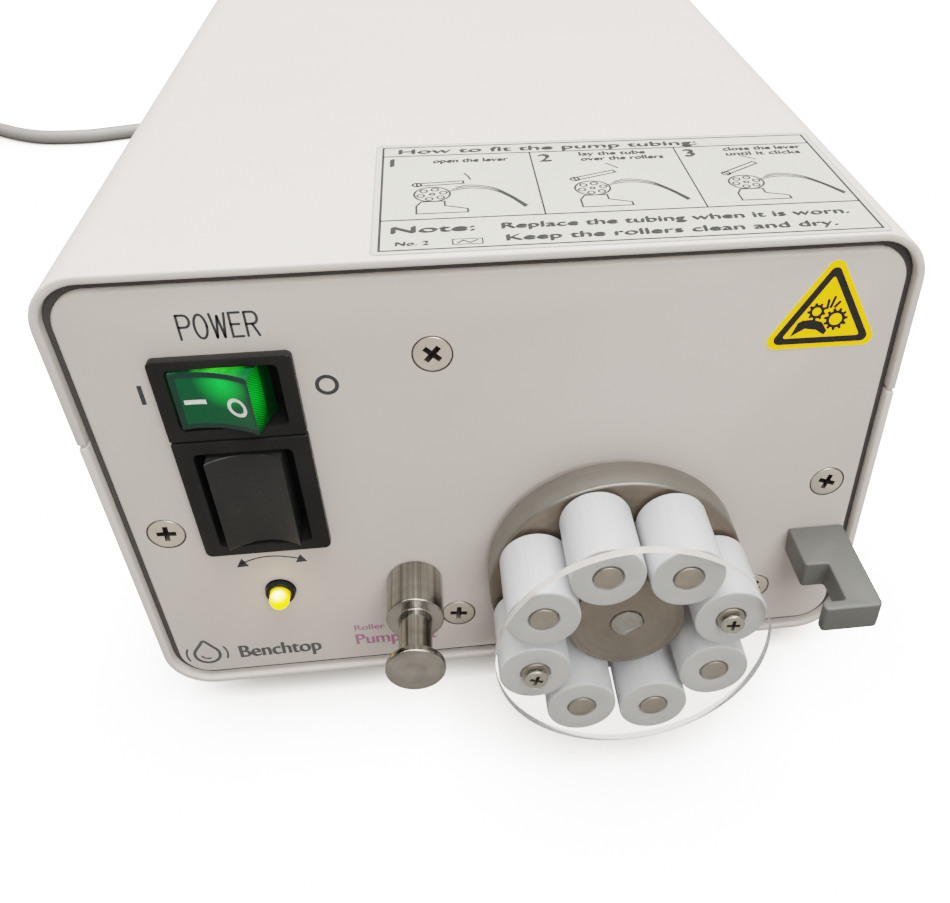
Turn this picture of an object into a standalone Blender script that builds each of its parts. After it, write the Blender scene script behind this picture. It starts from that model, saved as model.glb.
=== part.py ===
"""Bench peristaltic pump: an eight-roller head on a folded sheet-metal drive unit.

World frame: +Z up, the front panel faces -Y, the rubber feet and the mains lead stand on z = 0.
Most pieces hang from the empty panel_frame, whose origin is the middle of the front panel's
lower edge on its front face, so their places read as distances across the panel (x), into the
case (y) and up the panel (z). A negative y stands in front of the panel.
"""
import math

import bmesh
import bpy
from mathutils import Vector

MM = 0.001
GAP = 0.3 * MM             # clearance between pieces that touch
MERGE = 0.01 * MM

# Case and panel
CASE_WIDTH = 167.0 * MM
CASE_HEIGHT = 108.5 * MM   # without the feet
CASE_DEPTH = 300.0 * MM
SHEET = 1.75 * MM          # folded sheet
PANEL_GAP = 1.7 * MM       # open joint between the sheet and the panel's edge
PANEL_RECESS = 0.7 * MM    # panel face behind the rim of the sheet
PANEL_THICKNESS = 2.5 * MM
PANEL_CORNER = 7.0 * MM
SEAM_HEIGHT = 72.8 * MM    # where the cover meets the bottom shell, above the shell's underside
SEAM_GAP = 0.4 * MM
FOOT_HEIGHT = 7.0 * MM
FOOT_RADIUS = 9.0 * MM

# Screws through the panels: countersunk, 4 mm thread
SCREW_HEAD = 3.75 * MM
SCREW_CONE = 2.0 * MM
SCREW_SHANK = 2.0 * MM
SCREW_LENGTH = 11.0 * MM
PANEL_SCREWS = ((-13.1, 84.8), (-73.1, 44.9), (-13.1, 12.7), (73.1, 44.9), (60.0, 12.7))

# Rockers, side by side above the lamp
SWITCH_X = -52.35 * MM
BEZEL_FACE = 2.4 * MM      # bezel front ahead of the panel
BEZEL_WIDTH = 26.5 * MM
WELL_DEPTH = 11.6 * MM
MAINS_Z = 79.3 * MM
MAINS_BEZEL_HEIGHT = 17.6 * MM
MAINS_WELL = (20.7 * MM, 13.8 * MM)
MAINS_PIVOT_Y = 5.2 * MM
MAINS_TILT = math.radians(14.0)
DIRECTION_Z = 54.3 * MM
DIRECTION_BEZEL_HEIGHT = 30.0 * MM
DIRECTION_WELL = (19.4 * MM, 24.8 * MM)
DIRECTION_PIVOT_Y = 5.0 * MM

# Lamp
LED_X = -52.8 * MM
LED_Z = 25.5 * MM
LED_RADIUS = 2.4 * MM
LED_TIP = 5.4 * MM

# Cassette post and lever catch
POST_X = -22.4 * MM
POST_Z = 25.0 * MM
CATCH_X = (66.1 * MM, 79.2 * MM)
CATCH_Z = (24.7 * MM, 31.7 * MM)
CATCH_REACH = 27.2 * MM

# Pump head, turning about an axis square to the panel
ROTOR_X = 23.45 * MM
ROTOR_Z = 28.4 * MM
HUB_RADIUS = 28.9 * MM
HUB_BACK = 2.4 * MM        # distances ahead of the panel
HUB_FACE = 10.4 * MM
BOSS_RADIUS = 12.8 * MM
BOSS_FACE = 22.5 * MM
SHAFT_RADIUS = 3.5 * MM
SHAFT_FLAT = 2.6 * MM      # axis to flat
SHAFT_FLAT_ANGLE = math.radians(-52.0)
SHAFT_TIP = 22.9 * MM
SHAFT_INNER_END = 16.0 * MM
ROLLER_COUNT = 8
ROLLER_CIRCLE = 21.5 * MM
ROLLER_RADIUS = 7.7 * MM
ROLLER_BORE = 3.3 * MM
ROLLER_BACK = 11.3 * MM
ROLLER_FACE = 29.3 * MM
FIRST_ROLLER_ANGLE = math.radians(150.5)
SCREWED_ROLLERS = (3, 7)   # opposite pins that also hold the guard disc
PIN_RADIUS = 3.0 * MM
PIN_FACE = 29.4 * MM
PIN_SEAT = 5.0 * MM        # depth of the pin's seat in the hub
GUARD_RADIUS = 29.2 * MM
GUARD_BACK = 29.8 * MM
GUARD_FACE = 31.8 * MM
GUARD_SCREW_HEAD = 2.85 * MM   # countersunk in the disc
GUARD_SCREW_FACE = 31.9 * MM
GUARD_SCREW_RIM = 31.1 * MM    # where the head's cone starts
GUARD_SCREW_SHANK = 1.5 * MM

# Frame inside the case
RAIL_SIZE = 12.0 * MM
RAIL_X = 73.1 * MM
RAIL_Z = 44.9 * MM
PLATE_X = (-18.5 * MM, 66.5 * MM)
PLATE_Z = (5.5 * MM, 92.0 * MM)
PLATE_THICKNESS = 3.0 * MM

# Mains inlet on the rear panel
INLET_X = -35.0 * MM
INLET_Z = 28.0 * MM
INLET_FLANGE = (50.0 * MM, 27.0 * MM, 3.0 * MM)
INLET_SOCKET = (24.6 * MM, 16.8 * MM)
INLET_DEPTH = 15.0 * MM
INLET_SCREW_PITCH = 40.0 * MM
INLET_SCREW_CROWN = 2.2 * MM
CONNECTOR_GRIP = (27.0 * MM, 20.0 * MM, 26.0 * MM)
CONNECTOR_RELIEF = 28.0 * MM

# Mains lead, lying on the surface under the pump. Its route is (x, y, height), with x and y
# from the panel frame, and it ends beside the coil.
CORD_RADIUS = 3.5 * MM
CORD_STEP = 15.0 * MM
COIL_CENTRE = (-320.0 * MM, 398.0 * MM)
COIL_RADIUS = 40.0 * MM    # middle of the turns
COIL_TURNS_WIDE = 3
COIL_TURNS_HIGH = 2
PLUG_RADIUS = 19.0 * MM
PLUG_LENGTH = 72.0 * MM
PLUG_RIM_BACK = 54.5 * MM  # from the rear end to the widest part, which rests on the surface
PLUG_TILT = math.radians(12.0)
PLUG_PIN_RADIUS = 2.4 * MM
PLUG_PIN_LENGTH = 19.0 * MM
PLUG_PIN_SPACING = 19.0 * MM
PLUG_REAR = (-363.0 * MM, 322.0 * MM)

# Derived sizes
PANEL_WIDTH = CASE_WIDTH - 2 * (SHEET + PANEL_GAP)
PANEL_HEIGHT = CASE_HEIGHT - 2 * (SHEET + PANEL_GAP)
PANEL_BASE_Z = FOOT_HEIGHT + SHEET + PANEL_GAP
CASE_BOTTOM = -(SHEET + PANEL_GAP)               # in the panel frame
CASE_TOP = CASE_BOTTOM + CASE_HEIGHT
SEAM_Z = CASE_BOTTOM + SEAM_HEIGHT
CASE_CORNER = PANEL_CORNER + PANEL_GAP + SHEET
CASE_FRONT = -PANEL_RECESS
CASE_REAR = CASE_FRONT + CASE_DEPTH
REAR_FACE = CASE_REAR - PANEL_RECESS             # outer face of the rear panel
INLET_BACK = REAR_FACE + GAP + INLET_FLANGE[2]
PUMP_REAR = INLET_BACK + INLET_SCREW_CROWN       # rearmost point with the lead unplugged
PANEL_FRONT_Y = -(PUMP_REAR - GUARD_SCREW_FACE) / 2   # centres the pump on y = 0


# ---------------------------------------------------------------- basic tools

def clear_scene():
    for old in list(bpy.data.objects):
        bpy.data.objects.remove(old, do_unlink=True)


def make_material(name, colour, roughness, metallic=0.0, alpha=1.0, emission=0.0):
    material = bpy.data.materials.new(name)
    material.use_nodes = True
    shader = material.node_tree.nodes["Principled BSDF"]
    shader.inputs["Base Color"].default_value = (*colour, 1.0)
    shader.inputs["Roughness"].default_value = roughness
    shader.inputs["Metallic"].default_value = metallic
    shader.inputs["Alpha"].default_value = alpha
    shader.inputs["Emission Color"].default_value = (*colour, 1.0)
    shader.inputs["Emission Strength"].default_value = emission
    return material


def make_empty(name, location=(0.0, 0.0, 0.0), parent=None):
    empty = bpy.data.objects.new(name, None)
    empty.location = location
    empty.parent = parent
    bpy.context.scene.collection.objects.link(empty)
    return empty


def finish(name, bm, material, parent, location=(0.0, 0.0, 0.0), rotation=(0.0, 0.0, 0.0)):
    """Turn a bmesh into a placed object with smooth round faces."""
    bmesh.ops.remove_doubles(bm, verts=bm.verts, dist=MERGE)
    bmesh.ops.recalc_face_normals(bm, faces=bm.faces)
    mesh = bpy.data.meshes.new(name)
    bm.to_mesh(mesh)
    bm.free()
    mesh.shade_smooth()
    mesh.set_sharp_from_angle(angle=math.radians(35.0))
    obj = bpy.data.objects.new(name, mesh)
    if material is not None:
        obj.data.materials.append(material)
    obj.parent = parent
    obj.location = location
    obj.rotation_euler = rotation
    bpy.context.scene.collection.objects.link(obj)
    return obj


def add_prism(bm, outline, start, end, axis="Y"):
    """Extrude a closed outline from start to end along an axis.

    The outline's points are (x, z) along Y, (x, y) along Z and (y, z) along X.
    """
    place = {
        "X": lambda point: (start, point[0], point[1]),
        "Y": lambda point: (point[0], start, point[1]),
        "Z": lambda point: (point[0], point[1], start),
    }[axis]
    step = {"X": (end - start, 0, 0), "Y": (0, end - start, 0), "Z": (0, 0, end - start)}[axis]
    face = bm.faces.new([bm.verts.new(place(point)) for point in outline])
    grown = bmesh.ops.extrude_face_region(bm, geom=[face])["geom"]
    moved = [item for item in grown if isinstance(item, bmesh.types.BMVert)]
    bmesh.ops.translate(bm, verts=moved, vec=step)


def add_turned(bm, profile, steps, closed=False, axis=(0.0, 1.0, 0.0)):
    """Turn a profile of (radius, distance along the axis) about the axis.

    An open profile starts and ends on the axis; a closed one makes a ring.
    """
    along = Vector(axis)
    across = Vector((1.0, 0.0, 0.0))
    verts = [bm.verts.new(across * radius + along * distance) for radius, distance in profile]
    pairs = list(zip(verts, verts[1:]))
    if closed:
        pairs.append((verts[-1], verts[0]))
    edges = [bm.edges.new(pair) for pair in pairs]
    bmesh.ops.spin(bm, geom=verts + edges, cent=(0, 0, 0), axis=along, dvec=(0, 0, 0),
                   angle=2 * math.pi, steps=steps, use_merge=True)


def prism(name, outline, start, end, material, parent, axis="Y", **place):
    bm = bmesh.new()
    add_prism(bm, outline, start, end, axis)
    return finish(name, bm, material, parent, **place)


def turned(name, profile, steps, material, parent, closed=False, axis=(0.0, 1.0, 0.0), **place):
    bm = bmesh.new()
    add_turned(bm, profile, steps, closed, axis)
    return finish(name, bm, material, parent, **place)


def as_tool(obj):
    """A tool only cuts or joins; it is no piece of the pump."""
    obj.hide_render = True
    obj.display_type = "WIRE"
    return obj


def boolean(obj, tool, operation):
    modifier = obj.modifiers.new(tool.name, "BOOLEAN")
    modifier.operation = operation
    modifier.object = as_tool(tool)


def rectangle(width, height, centre=(0.0, 0.0)):
    cx, cz = centre
    w, h = width / 2, height / 2
    return [(cx - w, cz - h), (cx + w, cz - h), (cx + w, cz + h), (cx - w, cz + h)]


def arc(centre, radius, start, end, steps):
    """Points on an arc, from and to the given angles in degrees."""
    angles = [math.radians(start + (end - start) * i / steps) for i in range(steps + 1)]
    return [(centre[0] + radius * math.cos(a), centre[1] + radius * math.sin(a)) for a in angles]


def rounded_rectangle(width, height, radius, centre=(0.0, 0.0), steps=5):
    cx, cz = centre
    w, h = width / 2 - radius, height / 2 - radius
    corners = (((cx + w, cz + h), 0), ((cx - w, cz + h), 90),
               ((cx - w, cz - h), 180), ((cx + w, cz - h), 270))
    return [point for corner, turn in corners for point in arc(corner, radius, turn, turn + 90, steps)]


def circle_outline(radius, steps, centre=(0.0, 0.0)):
    return arc(centre, radius, 0.0, 360.0 * (steps - 1) / steps, steps - 1)


# ---------------------------------------------------------------- materials

def make_materials():
    return {
        "paint": make_material("case_paint", (0.77, 0.75, 0.73), 0.55),
        "panel": make_material("panel_paint", (0.55, 0.52, 0.49), 0.6),
        "black": make_material("black_plastic", (0.02, 0.02, 0.022), 0.35),
        "green": make_material("green_lens", (0.02, 0.55, 0.12), 0.2, emission=0.6),
        "yellow": make_material("yellow_lens", (1.0, 0.85, 0.02), 0.2, emission=2.0),
        "steel": make_material("turned_steel", (0.52, 0.49, 0.45), 0.25, 1.0),
        "screw": make_material("screw_steel", (0.66, 0.6, 0.52), 0.3, 1.0),
        "catch": make_material("grey_plastic", (0.3, 0.31, 0.29), 0.55),
        "hub": make_material("hub_metal", (0.36, 0.33, 0.29), 0.4, 0.8),
        "roller": make_material("roller_plastic", (0.72, 0.73, 0.74), 0.4),
        "acrylic": make_material("clear_acrylic", (0.93, 0.95, 0.95), 0.05, alpha=0.3),
        "rubber": make_material("foot_rubber", (0.04, 0.04, 0.04), 0.8),
        "zinc": make_material("zinc_plate", (0.6, 0.6, 0.58), 0.4, 0.9),
        "motor": make_material("motor_case", (0.2, 0.2, 0.21), 0.45, 0.6),
        "copper": make_material("transformer_core", (0.35, 0.22, 0.13), 0.5, 0.3),
        "board": make_material("circuit_board", (0.03, 0.2, 0.08), 0.45),
        "lead": make_material("mains_lead", (0.6, 0.6, 0.59), 0.5),
    }


# ---------------------------------------------------------------- case

def u_outline(side_end, corner_z, inward):
    """Half of the case's outline as a folded U, open towards side_end.

    inward is +1 for the cover (open below) and -1 for the shell (open above).
    """
    outer_x = CASE_WIDTH / 2
    inner_x = outer_x - SHEET
    outer_r = CASE_CORNER
    inner_r = CASE_CORNER - SHEET
    centre_x = outer_x - outer_r
    centre_z = corner_z - inward * outer_r
    turn = 90 * inward
    outside = arc((centre_x, centre_z), outer_r, 0, turn, 6)
    outside += arc((-centre_x, centre_z), outer_r, turn, 2 * turn, 6)
    inside = arc((-centre_x, centre_z), inner_r, 2 * turn, turn, 6)
    inside += arc((centre_x, centre_z), inner_r, turn, 0, 6)
    return ([(outer_x, side_end)] + outside + [(-outer_x, side_end), (-inner_x, side_end)]
            + inside + [(inner_x, side_end)])


def build_top_cover(material, frame):
    outline = u_outline(SEAM_Z, CASE_TOP, 1)
    return prism("top_cover", outline, CASE_FRONT, CASE_REAR, material, frame)


def lap_outline(side):
    """A strip inside the shell's side that stands up behind the seam and locates the cover."""
    wall = CASE_WIDTH / 2 - SHEET
    lap = 9.0 * MM
    root = 0.1 * MM
    strip = 1.2 * MM
    shelf = SEAM_Z - SEAM_GAP - 0.3 * MM
    points = [(wall - GAP - strip, SEAM_Z - lap), (wall + root, SEAM_Z - lap), (wall + root, shelf),
              (wall - GAP, shelf), (wall - GAP, SEAM_Z + lap), (wall - GAP - strip, SEAM_Z + lap)]
    return [(side * x, z) for x, z in points]


def build_bottom_shell(material, frame):
    outline = u_outline(SEAM_Z - SEAM_GAP, CASE_BOTTOM, -1)
    shell = prism("bottom_shell", outline, CASE_FRONT, CASE_REAR, material, frame)
    inset = PANEL_THICKNESS + 1.5 * MM
    for side, label in ((-1, "left"), (1, "right")):
        strip = prism("lap_" + label, lap_outline(side), inset, REAR_FACE - inset, None, frame)
        boolean(shell, strip, "UNION")
    return shell


def screw_hole_profile(depth):
    """A countersunk clearance hole, as seen from the face it enters."""
    lead = 0.5 * MM
    return [(0.0, -lead), (SCREW_HEAD + GAP, -lead), (SCREW_HEAD + GAP, 0.0),
            (SCREW_SHANK + GAP, SCREW_CONE), (SCREW_SHANK + GAP, depth), (0.0, depth)]


def countersinks(name, places, frame, face_y=0.0, inward=1.0):
    """One cutter with a countersunk hole at each (x, z) in metres."""
    bm = bmesh.new()
    for x, z in places:
        hole = bmesh.new()
        profile = [(r, inward * d) for r, d in screw_hole_profile(PANEL_THICKNESS + 1.0 * MM)]
        add_turned(hole, profile, 20)
        bmesh.ops.translate(hole, verts=hole.verts, vec=(x, face_y, z))
        part = bpy.data.meshes.new(name + "_hole")
        hole.to_mesh(part)
        hole.free()
        bm.from_mesh(part)
        bpy.data.meshes.remove(part)
    return finish(name, bm, None, frame)


def bevel_edges(obj, width, segments=1, angle=60.0):
    modifier = obj.modifiers.new("edges", "BEVEL")
    modifier.width = width
    modifier.segments = segments
    modifier.limit_method = "ANGLE"
    modifier.angle_limit = math.radians(angle)


def panel_screw_places():
    return [(x * MM, z * MM) for x, z in PANEL_SCREWS]


def through_cutter(name, outline, frame):
    return prism(name, outline, -1.0 * MM, PANEL_THICKNESS + 1.0 * MM, None, frame)


def build_front_panel(material, frame):
    outline = rounded_rectangle(PANEL_WIDTH, PANEL_HEIGHT, PANEL_CORNER, (0.0, PANEL_HEIGHT / 2))
    panel = prism("front_panel", outline, 0.0, PANEL_THICKNESS, material, frame)
    bevel_edges(panel, 0.5 * MM)
    openings = {
        "mains_opening": rectangle(MAINS_WELL[0] + 3.0 * MM, MAINS_WELL[1] + 2.6 * MM,
                                   (SWITCH_X, MAINS_Z)),
        "direction_opening": rectangle(DIRECTION_WELL[0] + 3.0 * MM, DIRECTION_WELL[1] + 2.6 * MM,
                                       (SWITCH_X, DIRECTION_Z)),
        "lamp_opening": circle_outline(3.5 * MM, 24, (LED_X, LED_Z)),
        "shaft_opening": circle_outline(7.0 * MM, 32, (ROTOR_X, ROTOR_Z)),
        "post_opening": circle_outline(2.4 * MM, 20, (POST_X, POST_Z)),
    }
    for name, shape in openings.items():
        boolean(panel, through_cutter(name, shape, frame), "DIFFERENCE")
    boolean(panel, countersinks("panel_screw_holes", panel_screw_places(), frame), "DIFFERENCE")
    return panel


def rear_screw_places():
    return [(side * RAIL_X, RAIL_Z) for side in (-1, 1)]


def build_rear_panel(material, frame):
    outline = rounded_rectangle(PANEL_WIDTH, PANEL_HEIGHT, PANEL_CORNER, (0.0, PANEL_HEIGHT / 2))
    inner = REAR_FACE - PANEL_THICKNESS
    panel = prism("rear_panel", outline, inner, REAR_FACE, material, frame)
    bevel_edges(panel, 0.5 * MM)
    body = rectangle(INLET_SOCKET[0] + 4.0 * MM, INLET_SOCKET[1] + 4.0 * MM, (INLET_X, INLET_Z))
    opening = prism("inlet_opening", body, inner - 1.0 * MM, REAR_FACE + 1.0 * MM, None, frame)
    boolean(panel, opening, "DIFFERENCE")
    holes = countersinks("rear_screw_holes", rear_screw_places(), frame, REAR_FACE, -1.0)
    boolean(panel, holes, "DIFFERENCE")
    for side, label in ((-1, "left"), (1, "right")):
        place = (INLET_X + side * INLET_SCREW_PITCH / 2, INLET_Z)
        bore = prism("inlet_screw_hole_" + label, circle_outline(1.8 * MM, 16, place),
                     inner - 1.0 * MM, REAR_FACE + 1.0 * MM, None, frame)
        boolean(panel, bore, "DIFFERENCE")
    return panel


def build_rail(side, label, material, frame):
    """Square bar that ties the two panels together; a panel screw enters each end."""
    outline = rectangle(RAIL_SIZE, RAIL_SIZE, (side * RAIL_X, RAIL_Z))
    front = PANEL_THICKNESS + GAP
    back = REAR_FACE - PANEL_THICKNESS - GAP
    rail = prism("side_rail_" + label, outline, front, back, material, frame)
    bore = circle_outline(SCREW_SHANK + GAP, 16, (side * RAIL_X, RAIL_Z))
    for end, start, stop in (("front", 0.0, SCREW_LENGTH + 1.0 * MM),
                             ("rear", REAR_FACE - SCREW_LENGTH - 1.0 * MM, REAR_FACE)):
        cutter = prism("rail_bore_%s_%s" % (label, end), bore, start, stop, None, frame)
        boolean(rail, cutter, "DIFFERENCE")
    return rail


def build_feet(material, frame):
    top = CASE_BOTTOM - GAP
    profile = [(0.0, -FOOT_HEIGHT + GAP), (FOOT_RADIUS - 1.0 * MM, -FOOT_HEIGHT + GAP),
               (FOOT_RADIUS, -FOOT_HEIGHT + 1.5 * MM), (FOOT_RADIUS - 1.0 * MM, 0.0), (0.0, 0.0)]
    places = {"front_left": (-60.0, 30.0), "front_right": (60.0, 30.0),
              "rear_left": (-60.0, 268.0), "rear_right": (60.0, 268.0)}
    for label, (x, y) in places.items():
        turned("foot_" + label, profile, 24, material, frame, axis=(0.0, 0.0, 1.0),
               location=(x * MM, y * MM, top))


# ---------------------------------------------------------------- screws

def cross_outline(reach, arm):
    """A plus sign with arms of the given reach and width."""
    half = arm / 2
    return [(half, half), (reach, half), (reach, -half), (half, -half), (half, -reach), (-half, -reach),
            (-half, -half), (-reach, -half), (-reach, half), (-half, half), (-half, reach), (half, reach)]


def cut_cross(screw, reach, depth, head_y, outward, turn):
    """Sink a cross recess into the head whose face is at head_y along the local Y axis."""
    cutter = prism(screw.name + "_cross", cross_outline(reach, reach * 0.42),
                   head_y + outward * 0.5 * MM, head_y - outward * depth, None, screw.parent,
                   location=screw.location, rotation=(0.0, turn, 0.0))
    boolean(screw, cutter, "DIFFERENCE")


def countersunk_screw(name, x, z, face_y, inward, material, frame, turn):
    sink = 0.1 * MM
    profile = [(0.0, sink), (SCREW_HEAD - 0.05 * MM, sink), (SCREW_SHANK, SCREW_CONE),
               (SCREW_SHANK, SCREW_LENGTH), (0.0, SCREW_LENGTH)]
    profile = [(r, inward * d) for r, d in profile]
    screw = turned(name, profile, 20, material, frame, location=(x, face_y, z))
    cut_cross(screw, 1.95 * MM, 1.5 * MM, inward * sink, -inward, math.radians(turn))


def build_panel_screws(material, frame):
    turns = (8.0, 24.0, -12.0, 18.0, 40.0)
    for index, ((x, z), turn) in enumerate(zip(panel_screw_places(), turns), start=1):
        countersunk_screw("panel_screw_%d" % index, x, z, 0.0, 1.0, material, frame, turn)
    for (x, z), label in zip(rear_screw_places(), ("left", "right")):
        countersunk_screw("rear_screw_" + label, x, z, REAR_FACE, -1.0, material, frame, 30.0)


# ---------------------------------------------------------------- switches and lamp

def switch_body(name, z, bezel_height, well, material, frame):
    """Bezel on the panel and a box behind it, hollowed for the rocker."""
    wall = 1.2 * MM
    bezel = rounded_rectangle(BEZEL_WIDTH, bezel_height, 2.0 * MM, (SWITCH_X, z), 4)
    body = prism(name, bezel, -BEZEL_FACE, -GAP, material, frame)
    bevel_edges(body, 0.35 * MM)
    box_front = -BEZEL_FACE + 0.5 * MM
    box = prism(name + "_box", rectangle(well[0] + 2 * wall, well[1] + 2 * wall, (SWITCH_X, z)),
                box_front, 22.0 * MM, None, frame)
    boolean(body, box, "UNION")
    hollow = prism(name + "_well", rectangle(well[0], well[1], (SWITCH_X, z)),
                   -BEZEL_FACE - 1.0 * MM, WELL_DEPTH - BEZEL_FACE, None, frame)
    boolean(body, hollow, "DIFFERENCE")
    return body


def rocker_outline(half_width, reach, dish, waist, heel):
    """Plan of a rocker about its pivot: a dished front, straight ends and a round heel."""
    radius = (half_width ** 2 + dish ** 2) / (2 * dish)
    spread = math.degrees(math.asin(half_width / radius))
    front = arc((0.0, -reach + dish - radius), radius, 90 + spread, 90 - spread, 10)
    back = arc((0.0, 0.0), heel, -20, 200, 8)
    return front + [(half_width, -waist)] + back + [(-half_width, -waist)]


def build_mains_rocker(material, frame):
    """Rests with its left end pressed in, which is the ON position."""
    outline = rocker_outline(7.75 * MM, 10.0 * MM, 1.6 * MM, 3.4 * MM, 2.6 * MM)
    half = (MAINS_WELL[1] - 1.0 * MM) / 2
    return prism("mains_rocker", outline, -half, half, material, frame, axis="Z",
                 location=(SWITCH_X, MAINS_PIVOT_Y, MAINS_Z), rotation=(0.0, 0.0, -MAINS_TILT))


def build_direction_rocker(material, frame):
    outline = rocker_outline(7.65 * MM, 9.0 * MM, 2.4 * MM, 3.0 * MM, 2.6 * MM)
    half = (DIRECTION_WELL[1] - 0.9 * MM) / 2
    return prism("direction_rocker", outline, -half, half, material, frame, axis="Z",
                 location=(SWITCH_X, DIRECTION_PIVOT_Y, DIRECTION_Z))


def build_lamp(clip_material, lens_material, frame):
    flange, sleeve, bore = 3.6 * MM, 3.2 * MM, LED_RADIUS + GAP
    profile = [(bore, -1.7 * MM), (flange - 0.4 * MM, -1.7 * MM), (flange, -1.2 * MM), (flange, -GAP),
               (sleeve, -GAP), (sleeve, 6.0 * MM), (bore, 6.0 * MM)]
    turned("led_clip", profile, 28, clip_material, frame, closed=True, location=(LED_X, 0.0, LED_Z))
    dome = arc((0.0, -LED_TIP + LED_RADIUS), LED_RADIUS, -90, 0, 6)
    lens = dome + [(LED_RADIUS, 5.0 * MM), (0.0, 5.0 * MM)]
    turned("led_lens", lens, 24, lens_material, frame, location=(LED_X, 0.0, LED_Z))


# ---------------------------------------------------------------- cassette post and catch

def build_post(material, frame):
    base, neck, head = 6.4 * MM, 3.65 * MM, 6.35 * MM
    shoulder, collar, tip = 12.7 * MM, 25.7 * MM, 27.4 * MM
    edge = 0.3 * MM
    profile = [(0.0, -tip), (head - edge, -tip), (head, -tip + edge), (head, -collar - edge),
               (head - edge, -collar), (neck, -collar), (neck, -shoulder), (base - edge, -shoulder),
               (base, -shoulder + edge), (base, -GAP), (2.1 * MM, -GAP), (2.1 * MM, 6.0 * MM),
               (0.0, 6.0 * MM)]
    return turned("cassette_post", profile, 28, material, frame, location=(POST_X, 0.0, POST_Z))


def build_catch(material, frame):
    """A hook in plan, open to the left: arm along the right, lip across the front."""
    left, right = CATCH_X
    notch = 5.4 * MM
    notch_back, notch_front = 13.0 * MM, 24.6 * MM
    outline = [(left, -GAP), (right, -GAP), (right, -CATCH_REACH), (left, -CATCH_REACH),
               (left, -notch_front), (left + notch, -notch_front), (left + notch, -notch_back),
               (left, -notch_back)]
    catch = prism("lever_catch", outline, CATCH_Z[0], CATCH_Z[1], material, frame, axis="Z")
    bevel_edges(catch, 0.7 * MM, 2)
    return catch


# ---------------------------------------------------------------- pump head

def roller_angle(index):
    return FIRST_ROLLER_ANGLE - index * 2 * math.pi / ROLLER_COUNT


def roller_place(index):
    angle = roller_angle(index)
    return (ROLLER_CIRCLE * math.cos(angle), 0.0, ROLLER_CIRCLE * math.sin(angle))


def d_outline(radius, flat, steps=28):
    """A circle with a flat, as on a drive shaft."""
    half = math.degrees(math.acos(flat / radius))
    turn = math.degrees(SHAFT_FLAT_ANGLE)
    return arc((0.0, 0.0), radius, turn + half, turn + 360.0 - half, steps)


def build_rotor_hub(material, rotor):
    edge = 0.5 * MM
    profile = [(0.0, -BOSS_FACE), (BOSS_RADIUS - edge, -BOSS_FACE), (BOSS_RADIUS, -BOSS_FACE + edge),
               (BOSS_RADIUS, -HUB_FACE), (HUB_RADIUS - edge, -HUB_FACE), (HUB_RADIUS, -HUB_FACE + edge),
               (HUB_RADIUS, -HUB_BACK - edge), (HUB_RADIUS - edge, -HUB_BACK), (0.0, -HUB_BACK)]
    hub = turned("rotor_hub", profile, 48, material, rotor)
    bore = prism("hub_bore", d_outline(SHAFT_RADIUS + GAP, SHAFT_FLAT + GAP), -BOSS_FACE - 1.0 * MM,
                 0.0, None, rotor)
    boolean(hub, bore, "DIFFERENCE")
    for index in range(ROLLER_COUNT):
        seat = prism("pin_seat_%d" % (index + 1), circle_outline(PIN_RADIUS + GAP, 16),
                     -HUB_FACE - 1.0 * MM, -HUB_FACE + PIN_SEAT, None, rotor,
                     location=roller_place(index))
        boolean(hub, seat, "DIFFERENCE")
    return hub


def build_drive_shaft(material, rotor):
    outline = d_outline(SHAFT_RADIUS, SHAFT_FLAT)
    shaft = prism("drive_shaft", outline, -SHAFT_TIP, SHAFT_INNER_END, material, rotor)
    bevel_edges(shaft, 0.3 * MM)
    return shaft


def build_roller(index, material, rotor):
    edge = 0.35 * MM
    axle = make_empty("roller_axis_%d" % (index + 1), roller_place(index), rotor)
    profile = [(ROLLER_BORE, -ROLLER_FACE), (ROLLER_RADIUS - edge, -ROLLER_FACE),
               (ROLLER_RADIUS, -ROLLER_FACE + edge), (ROLLER_RADIUS, -ROLLER_BACK - edge),
               (ROLLER_RADIUS - edge, -ROLLER_BACK), (ROLLER_BORE, -ROLLER_BACK)]
    turned("roller_%d" % (index + 1), profile, 24, material, axle, closed=True)


def build_roller_pin(index, material, rotor):
    back = HUB_FACE - PIN_SEAT + GAP
    edge = 0.2 * MM
    profile = [(0.0, -PIN_FACE), (PIN_RADIUS - edge, -PIN_FACE), (PIN_RADIUS, -PIN_FACE + edge),
               (PIN_RADIUS, -back), (0.0, -back)]
    name = "roller_pin_%d" % (index + 1)
    pin = turned(name, profile, 16, material, rotor, location=roller_place(index))
    if index in SCREWED_ROLLERS:
        thread = prism(name + "_thread", circle_outline(GUARD_SCREW_SHANK + GAP, 16),
                       -PIN_FACE - 1.0 * MM, -PIN_FACE + 7.0 * MM, None, rotor,
                       location=roller_place(index))
        boolean(pin, thread, "DIFFERENCE")


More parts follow.
